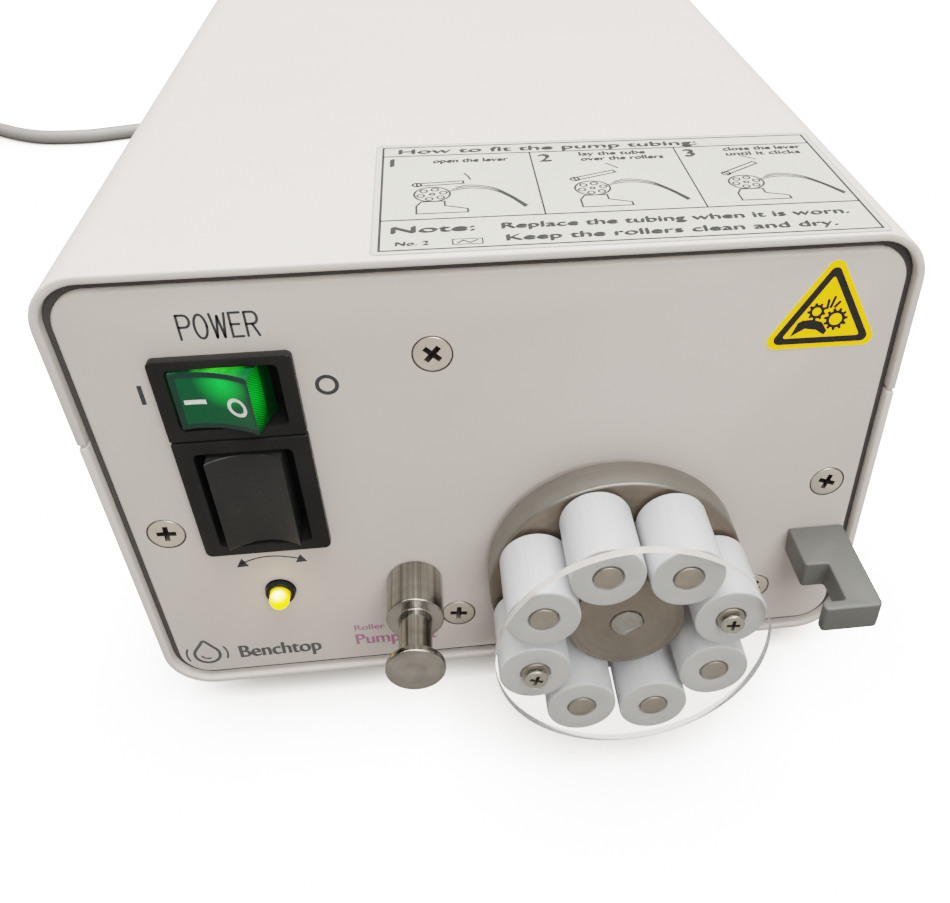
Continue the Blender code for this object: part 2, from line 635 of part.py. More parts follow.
def build_guard_disc(material, rotor):
    edge = 0.2 * MM
    profile = [(0.0, -GUARD_FACE), (GUARD_RADIUS - edge, -GUARD_FACE), (GUARD_RADIUS, -GUARD_FACE + edge),
               (GUARD_RADIUS, -GUARD_BACK - edge), (GUARD_RADIUS - edge, -GUARD_BACK), (0.0, -GUARD_BACK)]
    disc = turned("guard_disc", profile, 48, material, rotor)
    mouth, bore = GUARD_SCREW_HEAD + GAP, GUARD_SCREW_SHANK + GAP
    cone = GUARD_SCREW_RIM - 0.4 * GAP
    sink = [(0.0, -GUARD_FACE - 1.0 * MM), (mouth, -GUARD_FACE - 1.0 * MM), (mouth, -cone),
            (bore, -cone + mouth - bore), (bore, -GUARD_BACK + 1.0 * MM), (0.0, -GUARD_BACK + 1.0 * MM)]
    for number, index in enumerate(SCREWED_ROLLERS, start=1):
        hole = turned("guard_hole_%d" % number, sink, 24, None, rotor, location=roller_place(index))
        boolean(disc, hole, "DIFFERENCE")
    return disc


def build_guard_screws(material, rotor):
    cone_end = GUARD_SCREW_RIM - GUARD_SCREW_HEAD + GUARD_SCREW_SHANK
    crown = 0.2 * MM
    profile = [(0.0, -GUARD_SCREW_FACE), (GUARD_SCREW_HEAD - crown, -GUARD_SCREW_FACE),
               (GUARD_SCREW_HEAD, -GUARD_SCREW_FACE + crown), (GUARD_SCREW_HEAD, -GUARD_SCREW_RIM),
               (GUARD_SCREW_SHANK, -cone_end), (GUARD_SCREW_SHANK, -PIN_FACE + 6.0 * MM),
               (0.0, -PIN_FACE + 6.0 * MM)]
    for number, index in enumerate(SCREWED_ROLLERS, start=1):
        screw = turned("guard_screw_%d" % number, profile, 24, material, rotor,
                       location=roller_place(index))
        cut_cross(screw, 1.5 * MM, 1.3 * MM, -GUARD_SCREW_FACE, -1.0, math.radians(12.0 * number))


# ---------------------------------------------------------------- drive inside the case

def build_drive_plate(material, frame):
    width, height = PLATE_X[1] - PLATE_X[0], PLATE_Z[1] - PLATE_Z[0]
    centre = (sum(PLATE_X) / 2, sum(PLATE_Z) / 2)
    front = PANEL_THICKNESS + GAP
    plate = prism("drive_plate", rectangle(width, height, centre), front, front + PLATE_THICKNESS,
                  material, frame)
    holes = {"plate_shaft_hole": circle_outline(7.0 * MM, 28, (ROTOR_X, ROTOR_Z))}
    for index, (x, z) in enumerate(panel_screw_places(), start=1):
        if PLATE_X[0] < x < PLATE_X[1]:
            holes["plate_screw_hole_%d" % index] = circle_outline(SCREW_SHANK + GAP, 16, (x, z))
    for name, outline in holes.items():
        cutter = prism(name, outline, front - 1.0 * MM, front + PLATE_THICKNESS + 1.0 * MM, None, frame)
        boolean(plate, cutter, "DIFFERENCE")
    return plate


def build_gearmotor(material, frame):
    """Gearbox behind the plate, with the motor's can on its back."""
    front = PANEL_THICKNESS + PLATE_THICKNESS + 2 * GAP
    gearbox_depth, can_depth = 38.0 * MM, 62.0 * MM
    gearbox = rounded_rectangle(56.0 * MM, 62.0 * MM, 6.0 * MM, (ROTOR_X, ROTOR_Z + 12.0 * MM), 3)
    unit = prism("gearmotor", gearbox, front, front + gearbox_depth, material, frame)
    can = prism("motor_can", circle_outline(26.0 * MM, 32, (ROTOR_X, ROTOR_Z + 12.0 * MM)),
                front + gearbox_depth - 1.0 * MM, front + gearbox_depth + can_depth, None, frame)
    boolean(unit, can, "UNION")
    bore = prism("gearbox_bore", circle_outline(SHAFT_RADIUS + GAP, 24, (ROTOR_X, ROTOR_Z)),
                 front - 1.0 * MM, SHAFT_INNER_END + 1.0 * MM, None, frame)
    boolean(unit, bore, "DIFFERENCE")
    return unit


def build_transformer(material, frame):
    """Laminated core standing on the shell, with its winding through the middle."""
    floor = CASE_BOTTOM + SHEET + GAP
    core = prism("transformer", rectangle(56.0 * MM, 46.0 * MM, (-34.0 * MM, floor + 23.0 * MM)),
                 205.0 * MM, 235.0 * MM, material, frame)
    winding = prism("winding", rounded_rectangle(36.0 * MM, 30.0 * MM, 4.0 * MM,
                                                 (-34.0 * MM, floor + 23.0 * MM), 3),
                    192.0 * MM, 248.0 * MM, None, frame)
    boolean(core, winding, "UNION")
    return core


def build_control_board(material, frame):
    """Board on four posts, with a capacitor, a relay and a heat sink."""
    floor = CASE_BOTTOM + SHEET + GAP
    board_z = 8.0 * MM
    board = prism("control_board", rectangle(62.0 * MM, 84.0 * MM, (34.0 * MM, 222.0 * MM)),
                  board_z, board_z + 1.6 * MM, material, frame, axis="Z")
    posts = [(34.0 * MM + sx * 26.0 * MM, 222.0 * MM + sy * 37.0 * MM) for sx in (-1, 1) for sy in (-1, 1)]
    for index, place in enumerate(posts, start=1):
        post = prism("board_post_%d" % index, circle_outline(3.0 * MM, 12, place),
                     floor, board_z + 0.5 * MM, None, frame, axis="Z")
        boolean(board, post, "UNION")
    parts = {"capacitor": circle_outline(8.0 * MM, 20, (20.0 * MM, 200.0 * MM)),
             "relay": rectangle(16.0 * MM, 28.0 * MM, (46.0 * MM, 205.0 * MM)),
             "heat_sink": rectangle(30.0 * MM, 12.0 * MM, (32.0 * MM, 245.0 * MM))}
    heights = {"capacitor": 30.0 * MM, "relay": 16.0 * MM, "heat_sink": 26.0 * MM}
    for name, outline in parts.items():
        part = prism(name, outline, board_z + 1.0 * MM, board_z + 1.6 * MM + heights[name], None, frame,
                     axis="Z")
        boolean(board, part, "UNION")
    return board


# ---------------------------------------------------------------- mains inlet and connector

BLADES = ((-7.0 * MM, 1.5 * MM), (7.0 * MM, 1.5 * MM), (0.0, -2.5 * MM))   # from the inlet's middle
BLADE_SIZE = (4.0 * MM, 2.0 * MM)


def build_mains_inlet(material, frame):
    socket_w, socket_h = INLET_SOCKET
    wall = 1.7 * MM
    front = REAR_FACE + GAP
    flange = rounded_rectangle(INLET_FLANGE[0], INLET_FLANGE[1], 4.0 * MM, (INLET_X, INLET_Z), 4)
    inlet = prism("mains_inlet", flange, front, INLET_BACK, material, frame)
    floor_y = INLET_BACK - INLET_DEPTH
    body = prism("inlet_body", rectangle(socket_w + 2 * wall, socket_h + 2 * wall, (INLET_X, INLET_Z)),
                 floor_y - 6.0 * MM, INLET_BACK - 1.0 * MM, None, frame)
    boolean(inlet, body, "UNION")
    socket = prism("inlet_socket", rectangle(socket_w, socket_h, (INLET_X, INLET_Z)), floor_y,
                   INLET_BACK + 1.0 * MM, None, frame)
    boolean(inlet, socket, "DIFFERENCE")
    for index, (dx, dz) in enumerate(BLADES, start=1):
        blade = prism("inlet_blade_%d" % index, rectangle(BLADE_SIZE[1], BLADE_SIZE[0],
                                                          (INLET_X + dx, INLET_Z + dz)),
                      floor_y - 1.0 * MM, INLET_BACK - 3.0 * MM, None, frame)
        boolean(inlet, blade, "UNION")
    for side, label in ((-1, "left"), (1, "right")):
        place = (INLET_X + side * INLET_SCREW_PITCH / 2, INLET_Z)
        hole = prism("inlet_flange_hole_" + label, circle_outline(1.8 * MM, 16, place),
                     front - 1.0 * MM, INLET_BACK + 1.0 * MM, None, frame)
        boolean(inlet, hole, "DIFFERENCE")
    return inlet


def build_inlet_screws(material, frame):
    """Pan heads on the flange, with shanks through the rear panel."""
    head, shank, crown = 2.7 * MM, 1.5 * MM, INLET_SCREW_CROWN
    profile = [(0.0, crown), (head - 0.7 * MM, crown), (head, crown - 0.7 * MM), (head, GAP),
               (shank, GAP), (shank, -9.0 * MM), (0.0, -9.0 * MM)]
    for side, label in ((-1, "left"), (1, "right")):
        place = (INLET_X + side * INLET_SCREW_PITCH / 2, INLET_BACK, INLET_Z)
        screw = turned("inlet_screw_" + label, profile, 20, material, frame, location=place)
        cut_cross(screw, 1.3 * MM, 1.2 * MM, crown, 1.0, 0.3)


def connector_end():
    return INLET_BACK + GAP + CONNECTOR_GRIP[2] + CONNECTOR_RELIEF


def build_mains_connector(material, frame):
    """Nose in the inlet, grip behind it and a tapered strain relief round the lead."""
    start = INLET_BACK + GAP
    grip_end = start + CONNECTOR_GRIP[2]
    centre = (INLET_X, INLET_Z)
    grip = rounded_rectangle(CONNECTOR_GRIP[0], CONNECTOR_GRIP[1], 4.0 * MM, centre, 4)
    connector = prism("mains_connector", grip, start, grip_end, material, frame)
    bevel_edges(connector, 1.2 * MM, 2)
    nose_size = [size - 2 * GAP for size in INLET_SOCKET]
    nose = prism("connector_nose", rectangle(nose_size[0], nose_size[1], centre),
                 INLET_BACK - INLET_DEPTH + GAP, start + 3.0 * MM, None, frame)
    boolean(connector, nose, "UNION")
    for index, (dx, dz) in enumerate(BLADES, start=1):
        slot = prism("connector_slot_%d" % index,
                     rectangle(BLADE_SIZE[1] + 2 * GAP, BLADE_SIZE[0] + 2 * GAP,
                               (INLET_X + dx, INLET_Z + dz)),
                     INLET_BACK - INLET_DEPTH - 1.0 * MM, INLET_BACK - 3.0 * MM + GAP, None, frame)
        boolean(connector, slot, "DIFFERENCE")
    relief_profile = [(0.0, -2.0 * MM), (6.6 * MM, -2.0 * MM), (6.6 * MM, 0.0),
                      (CORD_RADIUS + 1.0 * MM, CONNECTOR_RELIEF), (0.0, CONNECTOR_RELIEF)]
    relief = turned("connector_relief", relief_profile, 20, None, frame,
                    location=(INLET_X, grip_end, INLET_Z))
    boolean(connector, relief, "UNION")
    return connector


# ---------------------------------------------------------------- mains lead

def surface(height):
    """A height above the surface under the pump, in the panel frame."""
    return height - PANEL_BASE_Z


def lead_route():
    """From the connector, down to the surface, past the case and along to the coil."""
    edge = COIL_RADIUS + (COIL_TURNS_WIDE - 1) * CORD_RADIUS
    start = Vector((INLET_X, connector_end() + GAP, INLET_Z))
    points = [(-35.0, 375.0, 38.4), (-37.5, 392.0, 31.0), (-50.0, 410.0, 15.0), (-78.0, 423.5, 4.6),
              (-112.0, 427.0, 3.6), (-145.0, 425.0, 3.6), (-178.4, 418.4, 3.6), (-203.0, 411.8, 3.6),
              (-228.0, 412.8, 3.6), (-243.2, 419.5, 3.6), (-257.0, 429.3, 3.6)]
    route = [start] + [Vector((x * MM, y * MM, surface(z * MM))) for x, y, z in points]
    end = Vector((COIL_CENTRE[0] + coil_reach() + GAP, COIL_CENTRE[1] + edge, surface(3.6 * MM)))
    route += [end + Vector((CORD_STEP, -0.4 * MM, 0.0)), end]
    return route


def coil_reach():
    """Half chord at which a straight lead on the outer turn's line meets the coil's outer face."""
    outer = COIL_RADIUS + COIL_TURNS_WIDE * CORD_RADIUS
    inner_side = outer - 2 * CORD_RADIUS
    return math.sqrt(outer ** 2 - inner_side ** 2)


def tail_route():
    """From the coil's outer turn to the plug's rear end."""
    edge = COIL_RADIUS + (COIL_TURNS_WIDE - 1) * CORD_RADIUS
    start = Vector((COIL_CENTRE[0] - edge, COIL_CENTRE[1] - coil_reach() - GAP, surface(3.6 * MM)))
    near = start + Vector((0.6 * MM, -14.0 * MM, 0.0))
    behind = Vector((0.0, math.cos(PLUG_TILT), -math.sin(PLUG_TILT)))
    rear = plug_rear() + behind * GAP
    return [start, near, rear + behind * CORD_STEP, rear]


def smooth_points(route, step):
    """Points at an even step on a smooth curve through the route."""
    fine = []
    padded = [2 * route[0] - route[1]] + route + [2 * route[-1] - route[-2]]
    for before, start, end, after in zip(padded, padded[1:], padded[2:], padded[3:]):
        for i in range(24):
            t = i / 24
            fine.append(0.5 * (2 * start + (end - before) * t
                               + (2 * before - 5 * start + 4 * end - after) * t ** 2
                               + (3 * start - before - 3 * end + after) * t ** 3))
    fine.append(route[-1])
    length = sum((b - a).length for a, b in zip(fine, fine[1:]))
    count = max(2, round(length / step))
    picked, travelled, target = [fine[0]], 0.0, 1
    for a, b in zip(fine, fine[1:]):
        travelled += (b - a).length
        if travelled >= target * length / count and target < count:
            picked.append(b)
            target += 1
    return picked + [fine[-1]]


def build_cord(name, route, material, frame):
    points = smooth_points(route, CORD_STEP)
    curve = bpy.data.curves.new(name, "CURVE")
    curve.dimensions = "3D"
    curve.bevel_depth = CORD_RADIUS
    curve.bevel_resolution = 3
    curve.use_fill_caps = True
    spline = curve.splines.new("POLY")
    spline.points.add(len(points) - 1)
    for slot, point in zip(spline.points, points):
        slot.co = (*point, 1.0)
    curve.materials.append(material)
    cord = bpy.data.objects.new(name, curve)
    cord.parent = frame
    bpy.context.scene.collection.objects.link(cord)
    return cord


def build_coil(material, frame):
    half = COIL_TURNS_WIDE * CORD_RADIUS
    height = COIL_TURNS_HIGH * 2 * CORD_RADIUS
    soft = 2.5 * MM
    inner, outer = COIL_RADIUS - half, COIL_RADIUS + half
    profile = [(inner, soft), (inner + soft, 0.0), (outer - soft, 0.0), (outer, soft),
               (outer, height - soft), (outer - soft, height), (inner + soft, height),
               (inner, height - soft)]
    return turned("mains_cord_coil", profile, 32, material, frame, closed=True,
                  axis=(0.0, 0.0, 1.0), location=(*COIL_CENTRE, surface(0.1 * MM)))


def plug_rear():
    """Centre of the plug's rear end, which rests low because the plug tilts."""
    height = PLUG_RADIUS * math.cos(PLUG_TILT) - PLUG_RIM_BACK * math.sin(PLUG_TILT)
    return Vector((*PLUG_REAR, surface(height + 0.1 * MM)))


def build_mains_plug(material, frame):
    """Round two-pin plug lying on its rim, its rear end down."""
    front = PLUG_LENGTH
    profile = [(0.0, 0.0), (CORD_RADIUS + 1.0 * MM, 0.0), (6.5 * MM, 24.0 * MM), (12.0 * MM, 27.0 * MM),
               (14.0 * MM, 48.0 * MM), (PLUG_RADIUS - 1.0 * MM, 53.0 * MM), (PLUG_RADIUS, PLUG_RIM_BACK),
               (PLUG_RADIUS, front - 1.5 * MM), (PLUG_RADIUS - 1.5 * MM, front), (0.0, front)]
    place = {"location": plug_rear(), "rotation": (PLUG_TILT, 0.0, math.pi)}
    plug = turned("mains_plug", profile, 24, material, frame, **place)
    for side, label in ((-1, "left"), (1, "right")):
        pin_outline = circle_outline(PLUG_PIN_RADIUS, 16, (side * PLUG_PIN_SPACING / 2, 0.0))
        pin = prism("plug_pin_" + label, pin_outline, front - 3.0 * MM, front + PLUG_PIN_LENGTH, None,
                    frame, **place)
        boolean(plug, pin, "UNION")
    return plug


# ---------------------------------------------------------------- assembly

def build_rotor(materials, rotor):
    build_rotor_hub(materials["hub"], rotor)
    build_drive_shaft(materials["steel"], rotor)
    for index in range(ROLLER_COUNT):
        build_roller(index, materials["roller"], rotor)
        build_roller_pin(index, materials["steel"], rotor)
    build_guard_disc(materials["acrylic"], rotor)
    build_guard_screws(materials["screw"], rotor)


def build_case(materials, frame):
    build_top_cover(materials["paint"], frame)
    build_bottom_shell(materials["paint"], frame)
    build_front_panel(materials["panel"], frame)
    build_rear_panel(materials["panel"], frame)
    for side, label in ((-1, "left"), (1, "right")):
        build_rail(side, label, materials["zinc"], frame)
    build_feet(materials["rubber"], frame)
    build_panel_screws(materials["screw"], frame)


def build_controls(materials, frame):
    switch_body("mains_switch_body", MAINS_Z, MAINS_BEZEL_HEIGHT, MAINS_WELL, materials["black"], frame)
    build_mains_rocker(materials["green"], frame)
    switch_body("direction_switch_body", DIRECTION_Z, DIRECTION_BEZEL_HEIGHT, DIRECTION_WELL,
                materials["black"], frame)
    build_direction_rocker(materials["black"], frame)
    build_lamp(materials["black"], materials["yellow"], frame)


def build_interior(materials, frame):
    build_drive_plate(materials["zinc"], frame)
    build_gearmotor(materials["motor"], frame)
    build_transformer(materials["copper"], frame)
    build_control_board(materials["board"], frame)


def build_mains_lead(materials, frame):
    build_mains_inlet(materials["black"], frame)
    build_inlet_screws(materials["screw"], frame)
    build_mains_connector(materials["lead"], frame)
    build_cord("mains_cord_lead", lead_route(), materials["lead"], frame)
    build_coil(materials["lead"], frame)
    build_cord("mains_cord_tail", tail_route(), materials["lead"], frame)
    build_mains_plug(materials["lead"], frame)


def main():
    clear_scene()
    materials = make_materials()
    frame = make_empty("panel_frame", (0.0, PANEL_FRONT_Y, PANEL_BASE_Z))
    rotor = make_empty("rotor_axis", (ROTOR_X, 0.0, ROTOR_Z), frame)
    build_case(materials, frame)
    build_controls(materials, frame)
    build_post(materials["steel"], frame)
    build_catch(materials["catch"], frame)
    build_rotor(materials, rotor)
    build_interior(materials, frame)
    build_mains_lead(materials, frame)


main()
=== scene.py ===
"""Looks of the bench peristaltic pump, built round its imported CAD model.

Pieces are modelled in millimetres from the panel frame: x across the front panel, y into the
case from the panel's face, z up from the panel's lower edge. The helper at_panel() turns that
into the row frame in metres.
"""

import math

import bmesh
import bpy
from mathutils import Euler, Matrix, Vector


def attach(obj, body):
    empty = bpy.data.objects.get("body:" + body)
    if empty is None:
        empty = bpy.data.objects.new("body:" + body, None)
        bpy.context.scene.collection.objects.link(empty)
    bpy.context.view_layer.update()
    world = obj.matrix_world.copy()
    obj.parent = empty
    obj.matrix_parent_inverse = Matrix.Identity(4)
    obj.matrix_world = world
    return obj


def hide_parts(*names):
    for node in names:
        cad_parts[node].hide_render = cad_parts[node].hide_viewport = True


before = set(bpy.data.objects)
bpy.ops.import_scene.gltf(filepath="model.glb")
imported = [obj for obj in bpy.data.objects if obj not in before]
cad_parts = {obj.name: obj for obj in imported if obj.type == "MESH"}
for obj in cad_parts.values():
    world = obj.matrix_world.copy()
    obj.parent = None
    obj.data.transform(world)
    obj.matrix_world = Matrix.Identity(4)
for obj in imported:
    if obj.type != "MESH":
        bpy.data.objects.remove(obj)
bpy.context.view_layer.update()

MM = 0.001
INK_LIFT = 0.03         # printing stands this far off its surface
FRONT_Y = -136.1        # panel face in the row frame
BASE_Z = 10.45          # panel's lower edge in the row frame

CASE_W, CASE_H, CASE_D = 167.0, 108.5, 300.0
SHEET, GAP_ROUND, RECESS = 1.75, 1.7, 0.7
PANEL_W, PANEL_H, PANEL_T, PANEL_R = 160.1, 101.6, 2.5, 7.0
BOTTOM = -(SHEET + GAP_ROUND)
TOP = BOTTOM + CASE_H
SEAM = BOTTOM + 72.8
REAR = -RECESS + CASE_D
REAR_FACE = REAR - RECESS
SWITCH_X, MAINS_Z, DIRECTION_Z = -52.35, 79.3, 54.3
MAINS_TILT = math.radians(14.0)
LED = (-52.8, 25.5)
POST = (-22.4, 25.0)
ROTOR = (23.45, 28.4)
HUB_AT = (ROTOR[0], 0.0, ROTOR[1])
ROLLER_RING, ROLLER_R = 21.5, 7.7
ROLLER_FRONT, ROLLER_BACK = -29.3, -11.3
HUB_R, HUB_FACE, HUB_BACK = 28.9, -10.4, -2.4
BOSS_R, BOSS_FACE = 12.8, -22.5
DISC_R, DISC_FRONT, DISC_BACK = 29.2, -31.8, -29.8
SCREWED = (3, 7)        # places of the two pins that hold the guard disc
LIT_ROCKER = (7.75, 10.0, 1.6)    # half width, reach and dish
PANEL_SCREWS = ((-13.1, 84.8), (-73.1, 44.9), (-13.1, 12.7), (73.1, 44.9), (60.0, 12.7))
REAR_SCREW_X, REAR_SCREW_Z = {"left": -73.1, "right": 73.1}, 44.9
INLET = (-35.0, 28.0)
INLET_BACK = REAR_FACE + 3.3
CONNECTOR = INLET_BACK + 0.3      # the connector's block starts here, its strain relief after it
BLOCK_END = CONNECTOR + 26.0
CONNECTOR_END = BLOCK_END + 28.0
COIL = (-320.0, 398.0, 40.0)      # x, y and the radius at the middle of its turns
CORD_R = 3.5
CORD_LOW, CORD_HIGH = 3.6, 10.6   # heights of a cord lying on the surface and of one lying on it
PLUG_TILT = math.radians(12.0)    # the plug's rear end rests on the surface
PLUG_R, PLUG_REST = 19.0, 54.5    # the plug's rim, and how far it lies before the rear end


def at_panel(x, y, z):
    return Vector((x, y + FRONT_Y, z + BASE_Z)) * MM


def on_surface(x, y, height):
    """As at_panel, but the height is above the surface under the pump."""
    return Vector((x, y + FRONT_Y, height)) * MM


# ================================================================ outlines

def arc(cx, cy, radius, start, end, steps):
    turns = [math.radians(start + (end - start) * i / steps) for i in range(steps + 1)]
    return [(cx + radius * math.cos(t), cy + radius * math.sin(t)) for t in turns]


def rounded(width, height, radius, cx=0.0, cy=0.0, steps=8):
    w, h = width / 2 - radius, height / 2 - radius
    corners = ((w, h, 0), (-w, h, 90), (-w, -h, 180), (w, -h, 270))
    return [p for x, y, t in corners for p in arc(cx + x, cy + y, radius, t, t + 90, steps)]


def ring(radius, steps=32, cx=0.0, cy=0.0):
    return arc(cx, cy, radius, 0.0, 360.0 * (steps - 1) / steps, steps - 1)


def fillet(points, radius, steps=4, closed=True):
    """Round a 2-D outline's corners; radius is one number or {index: radius}."""
    made = []
    for i, point in enumerate(points):
        r = radius.get(i, 0.0) if isinstance(radius, dict) else radius
        here = Vector(point)
        if r <= 0 or (not closed and i in (0, len(points) - 1)):
            made.append(tuple(here))
            continue
        a, b = Vector(points[i - 1]) - here, Vector(points[(i + 1) % len(points)]) - here
        la, lb = a.length, b.length
        a, b = a / la, b / lb
        angle = math.acos(max(-1.0, min(1.0, a.dot(b))))
        if angle > math.pi - 0.02:
            made.append(tuple(here))
            continue
        back = min(r / math.tan(angle / 2), 0.48 * la, 0.48 * lb)
        true_r = back * math.tan(angle / 2)
        centre = here + (a + b).normalized() * (true_r / math.sin(angle / 2))
        s, e = here + a * back - centre, here + b * back - centre
        start = math.atan2(s.y, s.x)
        turn = math.atan2(e.y, e.x) - start
        turn = (turn + math.pi) % (2 * math.pi) - math.pi
        for k in range(steps + 1):
            t = start + turn * k / steps
            made.append((centre.x + true_r * math.cos(t), centre.y + true_r * math.sin(t)))
    return made


# ================================================================ mesh tools

def only_verts(geometry):
    return [g for g in geometry if isinstance(g, bmesh.types.BMVert)]


def add_prism(bm, outline, start, end, axis="Y"):
    """Extrude an outline given as (x, z) along Y, (x, y) along Z or (y, z) along X."""
    put = {"X": lambda p: (start, p[0], p[1]), "Y": lambda p: (p[0], start, p[1]),
           "Z": lambda p: (p[0], p[1], start)}[axis]
    step = {"X": (end - start, 0, 0), "Y": (0, end - start, 0), "Z": (0, 0, end - start)}[axis]
    face = bm.faces.new([bm.verts.new(put(p)) for p in outline])
    grown = bmesh.ops.extrude_face_region(bm, geom=[face])["geom"]
    bmesh.ops.translate(bm, verts=only_verts(grown), vec=step)


def bridge(bm, a, b):
    """Join two closed rows of vertices with four-sided faces."""
    for i in range(len(a)):
        j = (i + 1) % len(a)
        bm.faces.new((a[i], a[j], b[j], b[i]))


def shifted(bm, *by):
    bmesh.ops.translate(bm, verts=bm.verts, vec=by)
    return bm


def prism(outline, start, end, axis="Y"):
    bm = bmesh.new()
    add_prism(bm, outline, start, end, axis)
    bmesh.ops.recalc_face_normals(bm, faces=bm.faces)
    return bm


def lathe(profile, steps=72, closed=False, axis=(0, 1, 0)):
    """Turn (radius, distance along the axis) about the axis."""
    bm = bmesh.new()
    along = Vector(axis)
    verts = [bm.verts.new(Vector((r, 0, 0)) + along * d) for r, d in profile]
    edges = [bm.edges.new(pair) for pair in zip(verts, verts[1:])]
    if closed:
        edges.append(bm.edges.new((verts[-1], verts[0])))
    bmesh.ops.spin(bm, geom=verts + edges, cent=(0, 0, 0), axis=along, dvec=(0, 0, 0),
                   angle=2 * math.pi, steps=steps, use_merge=True)
    bmesh.ops.remove_doubles(bm, verts=bm.verts, dist=0.0005)
    bmesh.ops.recalc_face_normals(bm, faces=bm.faces)
    return bm


def soften(bm, width, segments=2, angle=50.0, keep=None):
    """Bevel the sharp edges, or those of them that keep accepts."""
    bm.normal_update()
    sharp = [e for e in bm.edges if len(e.link_faces) == 2
             and e.calc_face_angle(0.0) > math.radians(angle) and (keep is None or keep(e))]
    bmesh.ops.bevel(bm, geom=sharp, offset=width, segments=segments, profile=0.5, affect="EDGES",
                    clamp_overlap=True)
    return bm


def temp_object(bm):
    mesh = bpy.data.meshes.new("temp")
    bm.to_mesh(mesh)
    bm.free()
    obj = bpy.data.objects.new("temp", mesh)
    bpy.context.scene.collection.objects.link(obj)
    return obj


def combined(bm, tools, operation="DIFFERENCE"):
    """The mesh after a Boolean with each tool; all are used up."""
    base = temp_object(bm)
    cutters = [temp_object(tool) for tool in tools]
    for cutter in cutters:
        modifier = base.modifiers.new("cut", "BOOLEAN")
        modifier.operation = operation
        modifier.object = cutter
    graph = bpy.context.evaluated_depsgraph_get()
    mesh = bpy.data.meshes.new_from_object(base.evaluated_get(graph), depsgraph=graph)
    for obj in [base, *cutters]:
        old = obj.data
        bpy.data.objects.remove(obj)
        bpy.data.meshes.remove(old)
    result = bmesh.new()
    result.from_mesh(mesh)
    bpy.data.meshes.remove(mesh)
    return result


def make(name, bm, material, body="housing", at=(0.0, 0.0, 0.0), stands_for=(), angle=35.0,
         turn=None):
    """Place a mesh in millimetres as a piece with smooth round faces."""
    mesh = bpy.data.meshes.new(name)
    bm.to_mesh(mesh)
    bm.free()
    mesh.transform(Matrix.Scale(MM, 4))
    for item in (material if isinstance(material, (list, tuple)) else [material]):
        mesh.materials.append(item)
    mesh.shade_smooth()
    mesh.set_sharp_from_angle(angle=math.radians(angle))
    obj = bpy.data.objects.new(name, mesh)
    obj.location = at_panel(*at)
    if turn is not None:
        obj.rotation_euler = turn
    bpy.context.scene.collection.objects.link(obj)
    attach(obj, body)
    if stands_for:
        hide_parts(*([stands_for] if isinstance(stands_for, str) else stands_for))
    return obj


# ================================================================ materials

